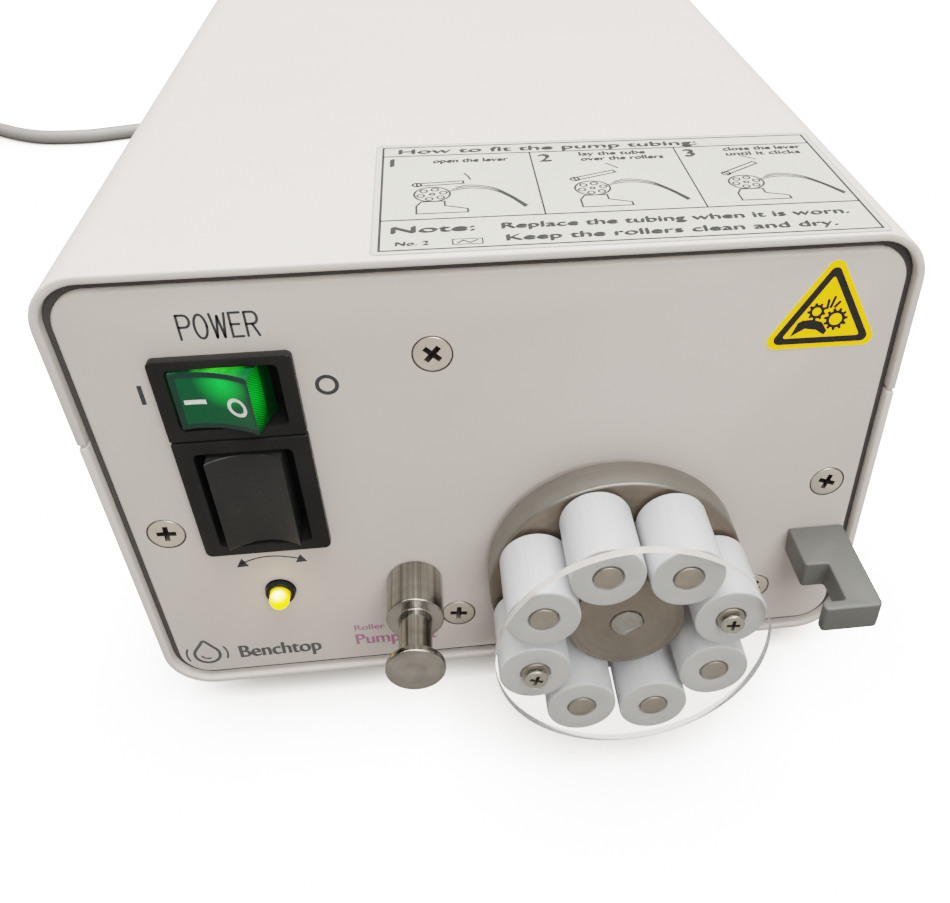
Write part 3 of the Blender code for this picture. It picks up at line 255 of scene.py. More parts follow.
class Nodes:
    """Short hand for building one material's node tree on object coordinates."""

    def __init__(self, name):
        self.material = bpy.data.materials.new(name)
        self.material.use_nodes = True
        self.tree = self.material.node_tree
        self.shader = self.tree.nodes["Principled BSDF"]
        self.coordinates = self.node("TexCoord").outputs
        self.place = self.coordinates["Object"]

    def node(self, kind, **settings):
        made = self.tree.nodes.new("ShaderNode" + kind)
        for key, value in settings.items():
            setattr(made, key, value)
        return made

    def feed(self, value, socket):
        """Give an input a number, a colour or another node's output."""
        if isinstance(value, bpy.types.NodeSocket):
            self.tree.links.new(value, socket)
        else:
            socket.default_value = (*value, 1.0) if isinstance(value, tuple) else value

    def set(self, **values):
        """Feed the shader's inputs, named with _ for each space."""
        for key, value in values.items():
            self.feed(value, self.shader.inputs[key.replace("_", " ")])

    def math(self, operation, *values, clamp=False):
        made = self.node("Math", operation=operation, use_clamp=clamp)
        for socket, value in zip(made.inputs, values):
            self.feed(value, socket)
        return made.outputs[0]

    def add(self, a, b):
        return self.math("ADD", a, b)

    def sub(self, a, b):
        return self.math("SUBTRACT", a, b)

    def mul(self, a, b):
        return self.math("MULTIPLY", a, b)

    def length(self, first, *others):
        total = self.mul(first, first)
        for part in others:
            total = self.add(total, self.mul(part, part))
        return self.math("SQRT", total)

    def past(self, value, centre, size=1.0):
        """How far the value is past the centre, in sizes; both are in millimetres."""
        return self.mul(self.sub(value, centre * MM), 1 / (size * MM))

    def waves(self, value, pitch):
        return self.math("SINE", self.mul(value, 2 * math.pi / (pitch * MM)))

    def noise(self, scale, detail=3.0, rough=0.5, vector=None, stretch=None):
        """Noise value; scale is features per metre, stretch scales x, y and z."""
        vector = vector or self.place
        if stretch:
            mapping = self.node("Mapping")
            mapping.inputs["Scale"].default_value = stretch
            self.feed(vector, mapping.inputs["Vector"])
            vector = mapping.outputs["Vector"]
        made = self.node("TexNoise")
        for key, value in (("Scale", scale), ("Detail", detail), ("Roughness", rough), ("Vector", vector)):
            self.feed(value, made.inputs[key])
        return made.outputs["Fac"]

    def span(self, value, low, high, to_low=0.0, to_high=1.0):
        """Map low..high to to_low..to_high, clamped at both ends."""
        made = self.node("MapRange")
        for key, number in (("Value", value), ("From Min", low), ("From Max", high), ("To Min", to_low),
                            ("To Max", to_high)):
            self.feed(number, made.inputs[key])
        return made.outputs["Result"]

    def slow(self, scale, detail=3.0):
        """Even changes from 0 to 1 at a coarse scale."""
        return self.span(self.noise(scale, detail), 0.3, 0.7)

    def mix(self, factor, a, b):
        """Blend two colours, each a tuple or an output."""
        made = self.node("Mix", data_type="RGBA")
        for key, value in (("Factor", factor), (6, a), (7, b)):
            self.feed(value, made.inputs[key])
        return made.outputs[2]

    def axes(self, vector=None):
        made = self.node("SeparateXYZ")
        self.feed(vector or self.place, made.inputs["Vector"])
        return made.outputs

    def vector(self, *parts):
        made = self.node("CombineXYZ")
        for value, socket in zip(parts, made.inputs):
            self.feed(value, socket)
        return made.outputs[0]

    def rough(self, source, low, high, start=0.3, end=0.7):
        """Roughness from low to high as the source goes from start to end."""
        self.set(Roughness=self.span(source, start, end, low, high))

    def bump(self, height, depth_mm, strength=1.0):
        made = self.node("Bump")
        for key, value in (("Distance", depth_mm * MM), ("Strength", strength), ("Height", height)):
            self.feed(value, made.inputs[key])
        self.set(Normal=made.outputs["Normal"])


def grained(name, light, dark, rough, grain=900.0, depth=0.02, mottle=18.0, spread=0.06, metal=0.0):
    """Paint or moulded plastic: a fine grain, and slow changes of tone and gloss."""
    n = Nodes(name)
    fine = n.noise(grain)
    n.set(Base_Color=n.mix(n.slow(mottle, 4.0), dark, light), Metallic=metal)
    n.rough(fine, rough - spread, rough + spread)
    n.bump(fine, depth)
    return n.material


def turned(name, light, dark, rough, lines=9000.0, depth=0.006, metal=1.0, streak=0.5, core=None, aniso=0.0,
           drawn=0.0):
    """Turned stock: fine rings that follow the cut; core is (radius, colour) of a browner, darker middle,
    partly its own tone and partly painted shade, and drawn is how dark the lengthwise streaks are, painted
    reflections."""
    n = Nodes(name)
    x, y, z = n.axes()
    radius = n.length(x, z)
    along = n.vector(radius, y)
    rings = n.noise(lines, 2.0, 0.6, along)
    broad = n.noise(lines * 0.12, 3.0, 0.5, along)
    tone = n.span(n.add(n.mul(broad, streak), n.mul(n.noise(220.0, 4.0), 1 - streak)), 0.35, 0.65)
    skin = n.mix(tone, dark, light)
    # a browner, darker middle: partly the metal's own tone, partly painted shade between the rollers
    if core:
        inside = n.span(radius, core[0] * MM, (core[0] + 0.3) * MM, 1.0, 0.0)
        skin = n.mix(inside, skin, n.mix(tone, tuple(c * 0.8 for c in core[1]), core[1]))
    # painted reflection: dark lengthwise bands round the bar, kept off its flat faces
    if drawn:
        safe = n.math("MAXIMUM", radius, 2.5 * MM)
        around = n.vector(n.math("DIVIDE", x, safe), 0.0, n.math("DIVIDE", z, safe))
        painted_reflection_bands = n.span(n.noise(3.2, 4.0, 0.62, around), 0.42, 0.6)
        flat = n.span(n.math("ABSOLUTE", n.axes(n.coordinates["Normal"])[1]), 0.4, 0.6)
        skin = n.mix(n.math("MAXIMUM", painted_reflection_bands, flat), tuple(c * (1.0 - drawn) for c in dark), skin)
    n.rough(rings, rough * 0.75, rough * 1.3)
    n.bump(rings, depth)
    if aniso:
        n.set(Tangent=n.node("Tangent", direction_type="RADIAL", axis="Y").outputs["Tangent"])
    n.set(Base_Color=skin, Metallic=metal, Anisotropic=aniso)
    return n.material


def printed(name, colour, rough=0.5, glow=0.0):
    """Screen-printed ink: a little patchy and rough; glow makes it shine in its own colour as painted light.
    """
    n = Nodes(name)
    patch = n.noise(1600.0, 2.0)
    lift = tuple(min(1.0, c * 1.25 + 0.003) for c in colour)
    n.set(Base_Color=n.mix(n.span(patch, 0.35, 0.75), colour, lift), Specular_IOR_Level=0.15)
    n.rough(patch, rough - 0.08, rough + 0.08)
    # painted light: the ink glows in its own colour
    if glow:
        n.set(Emission_Color=colour, Emission_Strength=glow)
    return n.material


def paint(name, fine, coarse, share, slow, tones, speck, rough, depth):
    """Textured paint: fine and coarse grain in that share, slow changes of tone and a few specks."""
    n = Nodes(name)
    tone = n.mix(n.span(n.noise(*slow, 0.6), 0.35, 0.7), *tones)
    scale, low, high, colour = speck
    tone = n.mix(n.span(n.noise(scale, 1.0), low, high), tone, colour)
    grain = n.add(n.mul(n.noise(fine, 2.0, 0.6), share), n.mul(n.noise(coarse), 1.0 - share))
    n.set(Base_Color=tone, Specular_IOR_Level=0.4)
    n.rough(grain, *rough)
    n.bump(grain, depth)
    return n.material


def black_plastic(name="black_plastic", rough=0.34, grain=2000.0, depth=0.004, base=0.012, spec=0.22):
    """Moulded plastic with a little dust on it."""
    n = Nodes(name)
    fine = n.noise(grain)
    tone = n.mix(n.slow(60.0), (base, base, base), (base * 1.5, base * 1.55, base * 1.5))
    dust = n.span(n.noise(420.0, 4.0), 0.68, 0.8)
    n.set(Base_Color=n.mix(dust, tone, (base * 2.4, base * 2.5, base * 2.4)), Specular_IOR_Level=spec)
    n.rough(fine, rough - 0.06, rough + 0.08)
    n.bump(fine, depth)
    return n.material


def green_front():
    """Dished face of the lit rocker: dark border as painted shade, ribbed lens and a lamp behind it."""
    n = Nodes("green_lens_front")
    x, _, z = n.axes()
    away = n.length(n.past(x, 1.9, 3.3), n.past(z, 4.3, 3.6))
    glow = n.math("POWER", n.span(away, 0.15, 1.75, 1.0, 0.0), 1.5)
    ribs = n.span(n.add(n.mul(n.waves(x, 0.52), 0.7), n.mul(n.waves(z, 0.62), 0.3)), -1.0, 1.0, 0.62, 1.0)
    # outside this window the face is a dark border of painted shade
    window = n.mul(n.span(n.math("ABSOLUTE", z), 4.95 * MM, 5.25 * MM, 1.0, 0.0),
                   n.mul(n.span(x, -6.65 * MM, -6.35 * MM), n.span(x, 6.75 * MM, 7.0 * MM, 1.0, 0.55)))
    light = n.mul(n.mul(glow, ribs), window)
    n.set(Base_Color=n.mix(window, (0.008, 0.03, 0.022), (0.001, 0.05, 0.024)), Specular_IOR_Level=0.2,
          Emission_Color=(0.0, 1.0, 0.045), Emission_Strength=n.add(n.mul(light, 1.1), n.mul(window, 0.025)))
    n.rough(n.noise(1200.0), 0.22, 0.34)
    n.bump(ribs, 0.02, 0.35)
    return n.material


def green_end():
    """End face of the lit rocker: slanting ribs, brightest half-way down."""
    n = Nodes("green_lens_end")
    _, y, z = n.axes()
    ribs = n.span(n.waves(n.add(z, n.mul(y, 0.8)), 0.55), -1.0, 1.0, 0.22, 1.0)
    away = n.length(n.past(y, -8.2, 4.2), n.past(z, 1.5, 6.0))
    glow = n.mul(n.span(away, 0.1, 1.25, 1.0, 0.06), ribs)
    glow = n.mul(glow, n.span(y, -4.7 * MM, -4.2 * MM, 1.0, 0.22))
    n.set(Base_Color=n.mix(glow, (0.001, 0.02, 0.006), (0.002, 0.22, 0.02)), Specular_IOR_Level=0.25,
          Emission_Color=(0.0, 1.0, 0.03), Emission_Strength=n.mul(glow, 0.62))
    n.rough(n.noise(900.0), 0.16, 0.3)
    n.bump(ribs, 0.05, 0.6)
    return n.material


def green_flank():
    """Upper and lower flanks of the rocker, glowing towards the lamp."""
    n = Nodes("green_lens_flank")
    x, _, z = n.axes()
    glow = n.mul(n.span(n.math("ABSOLUTE", n.sub(x, 1.2 * MM)), 0.0, 5.2 * MM, 1.0, 0.0),
                 n.span(z, 0.0, 5.0 * MM, 0.12, 1.0))
    patch = n.span(n.noise(700.0, 2.0), 0.3, 0.7, 0.45, 1.0)
    n.set(Base_Color=n.mix(patch, (0.001, 0.06, 0.015), (0.002, 0.1, 0.02)), Specular_IOR_Level=0.25,
          Emission_Color=(0.04, 1.0, 0.01), Emission_Strength=n.mul(n.mul(glow, patch), 1.6))
    n.rough(patch, 0.18, 0.32, 0.4, 1.0)
    return n.material


def lamp():
    """Diffused yellow lens with the lit chip as a white core near its tip."""
    n = Nodes("yellow_lens")
    x, y, z = n.axes()
    away = n.length(x, n.sub(y, -3.3 * MM), n.sub(z, 1.2 * MM))
    core = n.math("POWER", n.span(away, 0.4 * MM, 2.3 * MM, 1.0, 0.0), 2.2)
    base = n.span(y, -3.0 * MM, -1.2 * MM, 1.0, 0.3)
    n.set(Base_Color=n.mix(core, (0.4, 0.26, 0.0), (0.8, 0.7, 0.2)), Specular_IOR_Level=0.15,
          Emission_Color=n.mix(core, (1.0, 0.66, 0.0), (1.0, 0.95, 0.6)),
          Emission_Strength=n.mul(n.add(n.mul(core, 20.0), 4.5), base))
    n.rough(n.noise(1500.0), 0.12, 0.24)
    return n.material


def acrylic(tint, shadow):
    """Clear sheet; rays from lamps pass through, so what lies behind it stays lit."""
    n = Nodes("clear_acrylic")
    n.rough(n.noise(260.0, 2.0, stretch=(1.0, 1.0, 6.0)), 0.015, 0.045, 0.3, 0.75)
    n.set(Base_Color=n.mix(n.slow(60.0), tint, tuple(min(1.0, c * 1.01) for c in tint)),
          Transmission_Weight=1.0, IOR=1.02, Coat_Weight=0.8, Coat_Roughness=0.02, Coat_IOR=1.4)
    clear, blend = n.node("BsdfTransparent"), n.node("MixShader")
    n.feed(shadow, clear.inputs["Color"])
    for index, source in enumerate((n.node("LightPath").outputs["Is Shadow Ray"], n.shader.outputs[0],
                                    clear.outputs[0])):
        n.feed(source, blend.inputs[index])
    n.feed(blend.outputs[0], n.tree.nodes["Material Output"].inputs["Surface"])
    return n.material


def roller_plastic():
    """Pale acetal: the faced ends are a darker grey than its skin, as painted shade."""
    n = Nodes("roller_acetal")
    _, y, _ = n.axes()
    # painted shade: the faced ends get a darker grey than the skin
    ends = n.math("MAXIMUM", n.span(y, (ROLLER_FRONT + 0.08) * MM, (ROLLER_FRONT + 0.3) * MM, 1.0, 0.0),
                  n.span(y, (ROLLER_BACK - 0.2) * MM, ROLLER_BACK * MM))
    streaks = n.span(n.noise(900.0, stretch=(1.0, 0.06, 1.0)), 0.3, 0.7)
    skin = n.mix(streaks, (0.5, 0.515, 0.54), (0.55, 0.565, 0.59))
    n.set(Base_Color=n.mix(ends, skin, (0.36, 0.362, 0.355)))
    n.rough(streaks, 0.36, 0.46, 0.0, 1.0)
    n.bump(n.noise(4000.0, 2.0), 0.006)
    return n.material


def disc_rim_painted_light():
    """Rim of the acrylic disc: it gathers light and shows as a pale band, painted light that is paler,
    warmer and less clear towards the top.
    """
    n = Nodes("acrylic_edge")
    _, _, z = n.axes()
    n.set(Base_Color=n.mix(n.span(z, -20.0 * MM, 26.0 * MM), (0.5, 0.53, 0.515), (0.66, 0.61, 0.56)),
          Transmission_Weight=n.span(z, -24.0 * MM, 22.0 * MM, 0.75, 0.3), IOR=1.3)
    n.rough(n.noise(1800.0), 0.12, 0.3)
    return n.material


M = {
    "case": paint("case_paint", 2300.0, 700.0, 0.65, (9.0, 5.0), ((0.7, 0.642, 0.59), (0.75, 0.696, 0.645)),
                  (420.0, 0.78, 0.84, (0.55, 0.52, 0.5)), (0.47, 0.62), 0.1),
    "panel": paint("panel_paint", 2600.0, 500.0, 0.7, (14.0, 4.0),
                   ((0.645, 0.58, 0.525), (0.68, 0.62, 0.565)), (300.0, 0.81, 0.86, (0.36, 0.31, 0.28)),
                   (0.42, 0.56), 0.05),
    "bezel": black_plastic(base=0.01, spec=0.12),
    "paddle": black_plastic("paddle_plastic", 0.33, 2600.0, 0.0015, 0.013),
    "green_front": green_front(),
    "green_end": green_end(),
    "green_flank": green_flank(),
    "lamp": lamp(),
    # drawn paints dark lengthwise reflection streaks on the post
    "steel": turned("turned_steel", (0.45, 0.43, 0.39), (0.3, 0.285, 0.255), 0.2, 6000.0, 0.002,
                    streak=0.35, aniso=0.75, drawn=0.5),
    "pin": turned("pin_steel", (0.42, 0.36, 0.3), (0.29, 0.25, 0.21), 0.4, 9000.0, 0.004, streak=0.3),
    "screw": turned("nickel_screw", (0.97, 0.88, 0.76), (0.82, 0.74, 0.63), 0.38, 8000.0, 0.003, streak=0.3),
    "small_screw": turned("small_screw", (0.6, 0.56, 0.49), (0.46, 0.42, 0.36), 0.3, 8000.0, 0.003,
                          streak=0.3),
    # painted shade in the screws' cross recesses
    "recess": grained("screw_recess_painted_shade", (0.07, 0.062, 0.055), (0.03, 0.027, 0.024), 0.5, 3000.0, 0.01,
                      metal=0.6),
    "catch": grained("catch_plastic", (0.1, 0.103, 0.095), (0.084, 0.087, 0.08), 0.5, 1300.0, 0.02, 40.0),
    # the hub face's browner middle is partly painted shade
    "hub": turned("hub_metal", (0.215, 0.207, 0.185), (0.175, 0.165, 0.145), 0.42, 7000.0, 0.004, 0.75, 0.6,
                  (28.3, (0.172, 0.137, 0.104))),
    "roller": roller_plastic(),
    "acrylic": acrylic((0.985, 0.99, 0.985), (0.78, 0.785, 0.775)),
    "edge": disc_rim_painted_light(),
    "rubber": grained("foot_rubber", (0.04, 0.04, 0.041), (0.025, 0.025, 0.026), 0.75, 700.0, 0.05),
    "zinc": grained("zinc_plate", (0.62, 0.62, 0.6), (0.5, 0.5, 0.48), 0.36, 260.0, 0.01, 60.0, 0.1, 0.9),
    "motor": grained("motor_paint", (0.17, 0.175, 0.18), (0.12, 0.122, 0.126), 0.42, 900.0, 0.04),
    "core": grained("transformer_varnish", (0.4, 0.26, 0.15), (0.26, 0.16, 0.09), 0.42, 500.0, 0.05),
    "board": grained("circuit_board", (0.04, 0.23, 0.09), (0.02, 0.13, 0.05), 0.38, 400.0, 0.02),
    "cord": grained("cord_pvc", (0.29, 0.281, 0.272), (0.25, 0.242, 0.233), 0.42, 900.0, 0.02, 25.0),
    "ink": printed("ink_dark", (0.014, 0.014, 0.014)),
    "name_ink": printed("ink_name", (0.07, 0.075, 0.074)),
    "grey_ink": printed("ink_grey", (0.036, 0.04, 0.044)),
    "magenta_ink": printed("ink_magenta", (0.37, 0.15, 0.26)),
    "label_ink": printed("ink_label", (0.03, 0.031, 0.03)),
    "white_ink": printed("ink_white", (0.82, 0.87, 0.84), 0.4),
    "label": grained("label_film", (0.62, 0.625, 0.55), (0.58, 0.585, 0.51), 0.3, 1500.0, 0.004, 30.0),
    "label_edge": printed("label_edge", (0.36, 0.365, 0.33)),
    # dark material for painted shade in the panel gaps and the countersinks
    "inside": grained("gap_painted_shade", (0.05, 0.048, 0.046), (0.035, 0.034, 0.033), 0.6, 600.0, 0.02),
    # the caution film's glow is painted light
    "yellow": printed("label_yellow", (0.98, 0.46, 0.0), 0.5, 1.1),
}


# ================================================================ camera, floor and light

WHITE = 20.0        # strength that the view transform shows as white


def build_camera():
    """The photo's camera, from its focal length and principal point in pixels."""
    wide, tall = 950.0, 903.0               # of the photo, in pixels
    focal, across, down = 954.7, 568.007, 511.418
    data = bpy.data.cameras.new("camera")
    data.sensor_width = 36.0
    data.lens = focal / wide * data.sensor_width
    data.shift_x = (wide / 2 - across) / wide
    data.shift_y = (down - tall / 2) / wide
    data.clip_start, data.clip_end = 0.01, 20.0
    data.dof.use_dof = False
    camera = bpy.data.objects.new("camera", data)
    right, up, back = (0.99181, -0.12767, 0.00363), (0.08014, 0.64424, 0.76061), (-0.09945, -0.75409, 0.6492)
    turn = Matrix((right, up, back)).transposed().to_4x4()
    camera.matrix_world = Matrix.Translation(at_panel(-7.9, -161.6, 181.3)) @ turn
    bpy.context.scene.collection.objects.link(camera)
    bpy.context.scene.camera = camera


def build_floor():
    """White to the camera, with a painted contact shadow near the object and a warm painted reflection
    where it is seen through the clear disc; dull grey to the light it returns.
    """
    bm = bmesh.new()
    bmesh.ops.create_grid(bm, x_segments=8, y_segments=8, size=3.0)
    mesh = bpy.data.meshes.new("floor")
    bm.to_mesh(mesh)
    bm.free()
    floor = bpy.data.objects.new("floor", mesh)
    n = Nodes("floor_white")
    path = n.node("LightPath").outputs
    direct = n.math("SUBTRACT", 1.0, n.add(path["Diffuse Depth"], path["Glossy Depth"]), clamp=True)
    through = n.mul(path["Is Transmission Ray"], direct)
    near = n.node("AmbientOcclusion", samples=16)
    near.inputs["Distance"].default_value = 0.032
    openness = near.outputs["AO"]
    white_with_painted_shadow = n.mul(n.math("POWER", openness, 2.4), WHITE)
    tone = n.mix(openness, (1.0, 0.9, 0.78), (1.0, 1.0, 1.0))
    n.set(Base_Color=n.mix(n.slow(3.0), (0.19, 0.182, 0.17), (0.2, 0.192, 0.18)), Roughness=0.8,
          Specular_IOR_Level=0.1, Emission_Color=n.mix(path["Is Transmission Ray"], tone, (1.0, 0.9, 0.84)),
          Emission_Strength=n.add(n.mul(path["Is Camera Ray"], white_with_painted_shadow), n.mul(through, 4.2)))
    mesh.materials.append(n.material)
    bpy.context.scene.collection.objects.link(floor)


def area_light(name, place, aim, size, power, colour=(1.0, 1.0, 1.0)):
    data = bpy.data.lights.new(name, "AREA")
    data.shape = "RECTANGLE"
    data.size, data.size_y = size
    data.energy = power
    data.color = colour
    light = bpy.data.objects.new(name, data)
    light.location = place
    light.rotation_euler = (Vector(aim) - Vector(place)).to_track_quat("-Z", "Y").to_euler()
    bpy.context.scene.collection.objects.link(light)


def build_light():
    """A world white to the camera that lights little, an overhead box, a front fill and a streak."""
    view = bpy.context.scene.view_settings
    view.view_transform = "Filmic"
    view.exposure = -0.32
    world = bpy.data.worlds.new("studio")
    bpy.context.scene.world = world
    world.use_nodes = True
    nodes, links = world.node_tree.nodes, world.node_tree.links
    background = nodes["Background"]
    background.inputs["Color"].default_value = (1.0, 0.975, 0.95, 1.0)
    background.inputs["Strength"].default_value = 0.25
    wall = nodes.new("ShaderNodeBackground")
    wall.inputs["Strength"].default_value = WHITE
    path, blend = nodes.new("ShaderNodeLightPath"), nodes.new("ShaderNodeMixShader")
    links.new(path.outputs["Is Camera Ray"], blend.inputs[0])
    links.new(background.outputs[0], blend.inputs[1])
    links.new(wall.outputs[0], blend.inputs[2])
    links.new(blend.outputs[0], nodes["World Output"].inputs["Surface"])
    area_light("overhead", (0.05, 0.1, 1.4), (0.0, 0.02, 0.0), (1.8, 1.3), 86.0, (1.0, 0.965, 0.93))
    area_light("front_fill", (0.35, -1.3, 0.9), (0.0, -0.1, 0.05), (0.8, 0.8), 19.0, (1.0, 0.98, 0.96))
    area_light("streak", (-0.3, -0.25, 0.8), (-0.02, -0.15, 0.04), (0.02, 0.7), 1.6)


# ================================================================ mains cord

def smooth_line(route, step):
    """Evenly spaced points on a smooth curve through the route."""
    fine = []
    padded = [2 * route[0] - route[1]] + route + [2 * route[-1] - route[-2]]
    for a, b, c, d in zip(padded, padded[1:], padded[2:], padded[3:]):
        for i in range(24):
            t = i / 24
            fine.append(0.5 * (2 * b + (c - a) * t + (2 * a - 5 * b + 4 * c - d) * t ** 2
                               + (3 * b - a - 3 * c + d) * t ** 3))
    fine.append(route[-1])
    total = sum((q - p).length for p, q in zip(fine, fine[1:]))
    count = max(2, round(total / step))
    picked, gone, target = [fine[0]], 0.0, 1
    for p, q in zip(fine, fine[1:]):
        gone += (q - p).length
        if gone >= target * total / count and target < count:
            picked.append(q)
            target += 1
    return picked + [fine[-1]]


def coil_points():
    """Turns from the outside in on the surface, then from the inside out on top of them."""
    cx, cy, middle = COIL
    outer, inner = middle + 2 * CORD_R, middle - 2 * CORD_R
    stations = [(90, outer, CORD_LOW), (810, inner, CORD_LOW), (930, inner, CORD_HIGH),
                (1650, outer, CORD_HIGH), (1980, outer, CORD_HIGH)]
    points = []
    for (a0, r0, z0), (a1, r1, z1) in zip(stations, stations[1:]):
        count = max(2, round((a1 - a0) / 20))
        for i in range(count):
            t = i / count
            ease = t * t * (3 - 2 * t)
            angle = math.radians(a0 + (a1 - a0) * t)
            radius = r0 + (r1 - r0) * t
            points.append(on_surface(cx + radius * math.cos(angle), cy + radius * math.sin(angle),
                                     z0 + (z1 - z0) * ease))
    return points


def cord_points():
    """From the connector down to the surface, through the coil and on to the plug."""
    cx, cy, middle = COIL
    outer = middle + 2 * CORD_R
    lead = [(-35.0, CONNECTOR_END + 0.3, 38.45), (-35.0, 375.0, 38.4), (-37.5, 392.0, 31.0),
            (-50.0, 410.0, 15.0), (-78.0, 423.5, 4.6)]
    lead += [(x, y, CORD_LOW) for x, y in (
        (-112.0, 427.0), (-145.0, 425.0), (-178.4, 418.4), (-203.0, 411.8), (-228.0, 412.8), (-243.2, 419.5),
        (-257.0, 429.3), (cx + 41.0, cy + outer - 0.4), (cx + 22.0, cy + outer))]
    points = smooth_line([on_surface(*p) for p in lead], 13 * MM)
    points += coil_points()
    rear = plug_rear()
    behind = Vector((0.0, math.cos(PLUG_TILT), -math.sin(PLUG_TILT)))
    tail = [on_surface(cx - outer, cy - 0.5, CORD_HIGH), on_surface(cx - outer - 0.6, cy - 16.0, 8.6),
            on_surface(cx - outer - 1.6, cy - 30.0, 4.3), on_surface(cx - outer - 0.2, cy - 44.0, CORD_LOW),
            rear + behind * 15 * MM, rear + behind * 0.3 * MM]
    return points + smooth_line(tail, 9 * MM)


def plug_rear():
    """Middle of the plug's rear end, with the rim just touching the surface."""
    return on_surface(-363.0, 322.0, PLUG_R * math.cos(PLUG_TILT) - PLUG_REST * math.sin(PLUG_TILT) + 0.1)


def build_cord():
    points = cord_points()
    curve = bpy.data.curves.new("mains_cord", "CURVE")
    curve.dimensions = "3D"
    curve.bevel_depth = CORD_R * MM
    curve.bevel_resolution = 5
    curve.resolution_u = 4
    curve.use_fill_caps = True
    spline = curve.splines.new("BEZIER")
    spline.bezier_points.add(len(points) - 1)
    for knot, point in zip(spline.bezier_points, points):
        knot.co = point
        knot.handle_left_type = knot.handle_right_type = "AUTO"
    curve.materials.append(M["cord"])
    cord = bpy.data.objects.new("mains_cord", curve)
    bpy.context.scene.collection.objects.link(cord)
    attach(cord, "housing")
    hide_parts("mains_cord_lead", "mains_cord_coil", "mains_cord_tail")
    tie = build_tie()
    ends = build_plug() + build_connector()


def ribbed(start, end, r_start, r_end, count, depth):
    """Profile of a tapered strain relief with grooves round it."""
    profile = []
    pitch = (end - start) / count
    for i in range(count):
        for part, sink in ((0.15, 0.0), (0.6, 0.0), (0.68, depth), (0.95, depth)):
            d = start + pitch * (i + part)
            profile.append((r_start + (r_end - r_start) * (d - start) / (end - start) - sink, d))
    return profile


def build_plug():
    """Round two-pin plug lying on its rim, with a fluted grip and a ribbed strain relief."""
    rear = plug_rear() / MM
    place = (Matrix.Translation((rear.x, rear.y - FRONT_Y, rear.z - BASE_Z))
             @ Euler((PLUG_TILT, 0.0, math.pi)).to_matrix().to_4x4())
    shape = [(0.0, 0.0), (4.4, 0.0), *ribbed(0.5, 23.5, 4.5, 6.5, 6, 0.6), (6.5, 24.0)]
    rounds = dict(enumerate((1.2, 1.2, 2.0, 0.8, 1.4), start=len(shape)))
    shape += [(11.8, 27.0), (13.9, 48.0), (18.2, 53.0), (PLUG_R, PLUG_REST), (PLUG_R, 72.0), (0.0, 72.0)]
    bm = lathe(fillet(shape, rounds, 4, False))
    flutes = bmesh.new()
    for i in range(14):
        turn = 2 * math.pi * i / 14
        add_prism(flutes, ring(0.9, 12, 14.0 * math.cos(turn), 14.0 * math.sin(turn)), 31.0, 47.0)
    bmesh.ops.recalc_face_normals(flutes, faces=flutes.faces)
    face = lathe([(12.6, 70.9), (15.8, 70.9), (15.8, 73.0), (12.6, 73.0)], 72, True)
    bm = combined(bm, [flutes, face])
    bm.transform(place)
    body = make("plug_body", bm, M["cord"], stands_for="mains_plug", angle=30)
    apart = 19.0
    pins = lathe(fillet([(0.0, 69.0), (2.4, 69.0), (2.4, 91.0), (0.0, 91.0)], {2: 1.6}, 5, False), 32)
    shifted(pins, -apart / 2, 0.0, 0.0)
    second = bmesh.ops.duplicate(pins, geom=pins.verts[:] + pins.edges[:] + pins.faces[:])["geom"]
    bmesh.ops.translate(pins, verts=only_verts(second), vec=(apart, 0.0, 0.0))
    pins.transform(place)
    return [body, make("plug_pins", pins, M["screw"])]


def build_connector():
    """Moulded connector in the inlet: softened block, finger grooves and a ribbed strain relief."""
    bm = soften(prism(rounded(27.0, 20.0, 4.0, *INLET), CONNECTOR, BLOCK_END), 1.5, 4, 60)
    relief = lathe([(0.0, -2.0), (6.6, -2.0), *ribbed(0.5, 27.0, 6.5, 4.5, 7, 0.6), (4.5, 28.0), (0.0, 28.0)],
                   56)
    bm = combined(bm, [shifted(relief, INLET[0], BLOCK_END, INLET[1])], "UNION")
    grooves = bmesh.new()
    for x in (INLET[0] - 13.5, INLET[0] + 13.5):
        for i in range(4):
            groove = ring(0.7, 10, x, CONNECTOR + 8.0 + 3.2 * i)
            add_prism(grooves, groove, INLET[1] - 5.5, INLET[1] + 5.5, "Z")
    bmesh.ops.recalc_face_normals(grooves, faces=grooves.faces)
    return [make("connector_body", combined(bm, [grooves]), M["cord"], stands_for="mains_connector",
                 angle=30)]


def build_tie():
    """A band round the coil's turns, with its free end folded back."""
    cx, cy, middle = COIL
    half, height = 3 * CORD_R + 0.5, 15.0
    thick = 0.8

    def loop(inset, low, radius):
        r0, r1, top = middle - half + inset, middle + half - inset, height - inset
        return fillet([(r0, low), (r1, low), (r1, top), (r0, top)], radius, 6)

    bm = bmesh.new()
    rings = [[bm.verts.new((r, y, z)) for r, z in shape]
             for shape in (loop(0.0, 0.05, 3.2), loop(thick, 0.6, 2.6)) for y in (-5.0, 5.0)]
    for a, b in ((0, 1), (1, 3), (3, 2), (2, 0)):
        bridge(bm, rings[a], rings[b])
    flap = bmesh.new()
    r0, r1, top = middle - 8, middle + 9, height + thick
    add_prism(flap, fillet([(r0, height), (r1, height), (r1, top), (r0, top)], 0.3, 2), -4.6, 4.6)
    bmesh.ops.recalc_face_normals(bm, faces=bm.faces)
    bm = combined(bm, [flap], "UNION")
    bmesh.ops.rotate(bm, verts=bm.verts, cent=(0, 0, 0), matrix=Matrix.Rotation(math.radians(-35), 3, "Z"))
    return make("cord_tie", bm, M["bezel"], at=(cx, cy, -BASE_Z))


build_camera()
build_floor()
build_light()
build_cord()


# ================================================================ case

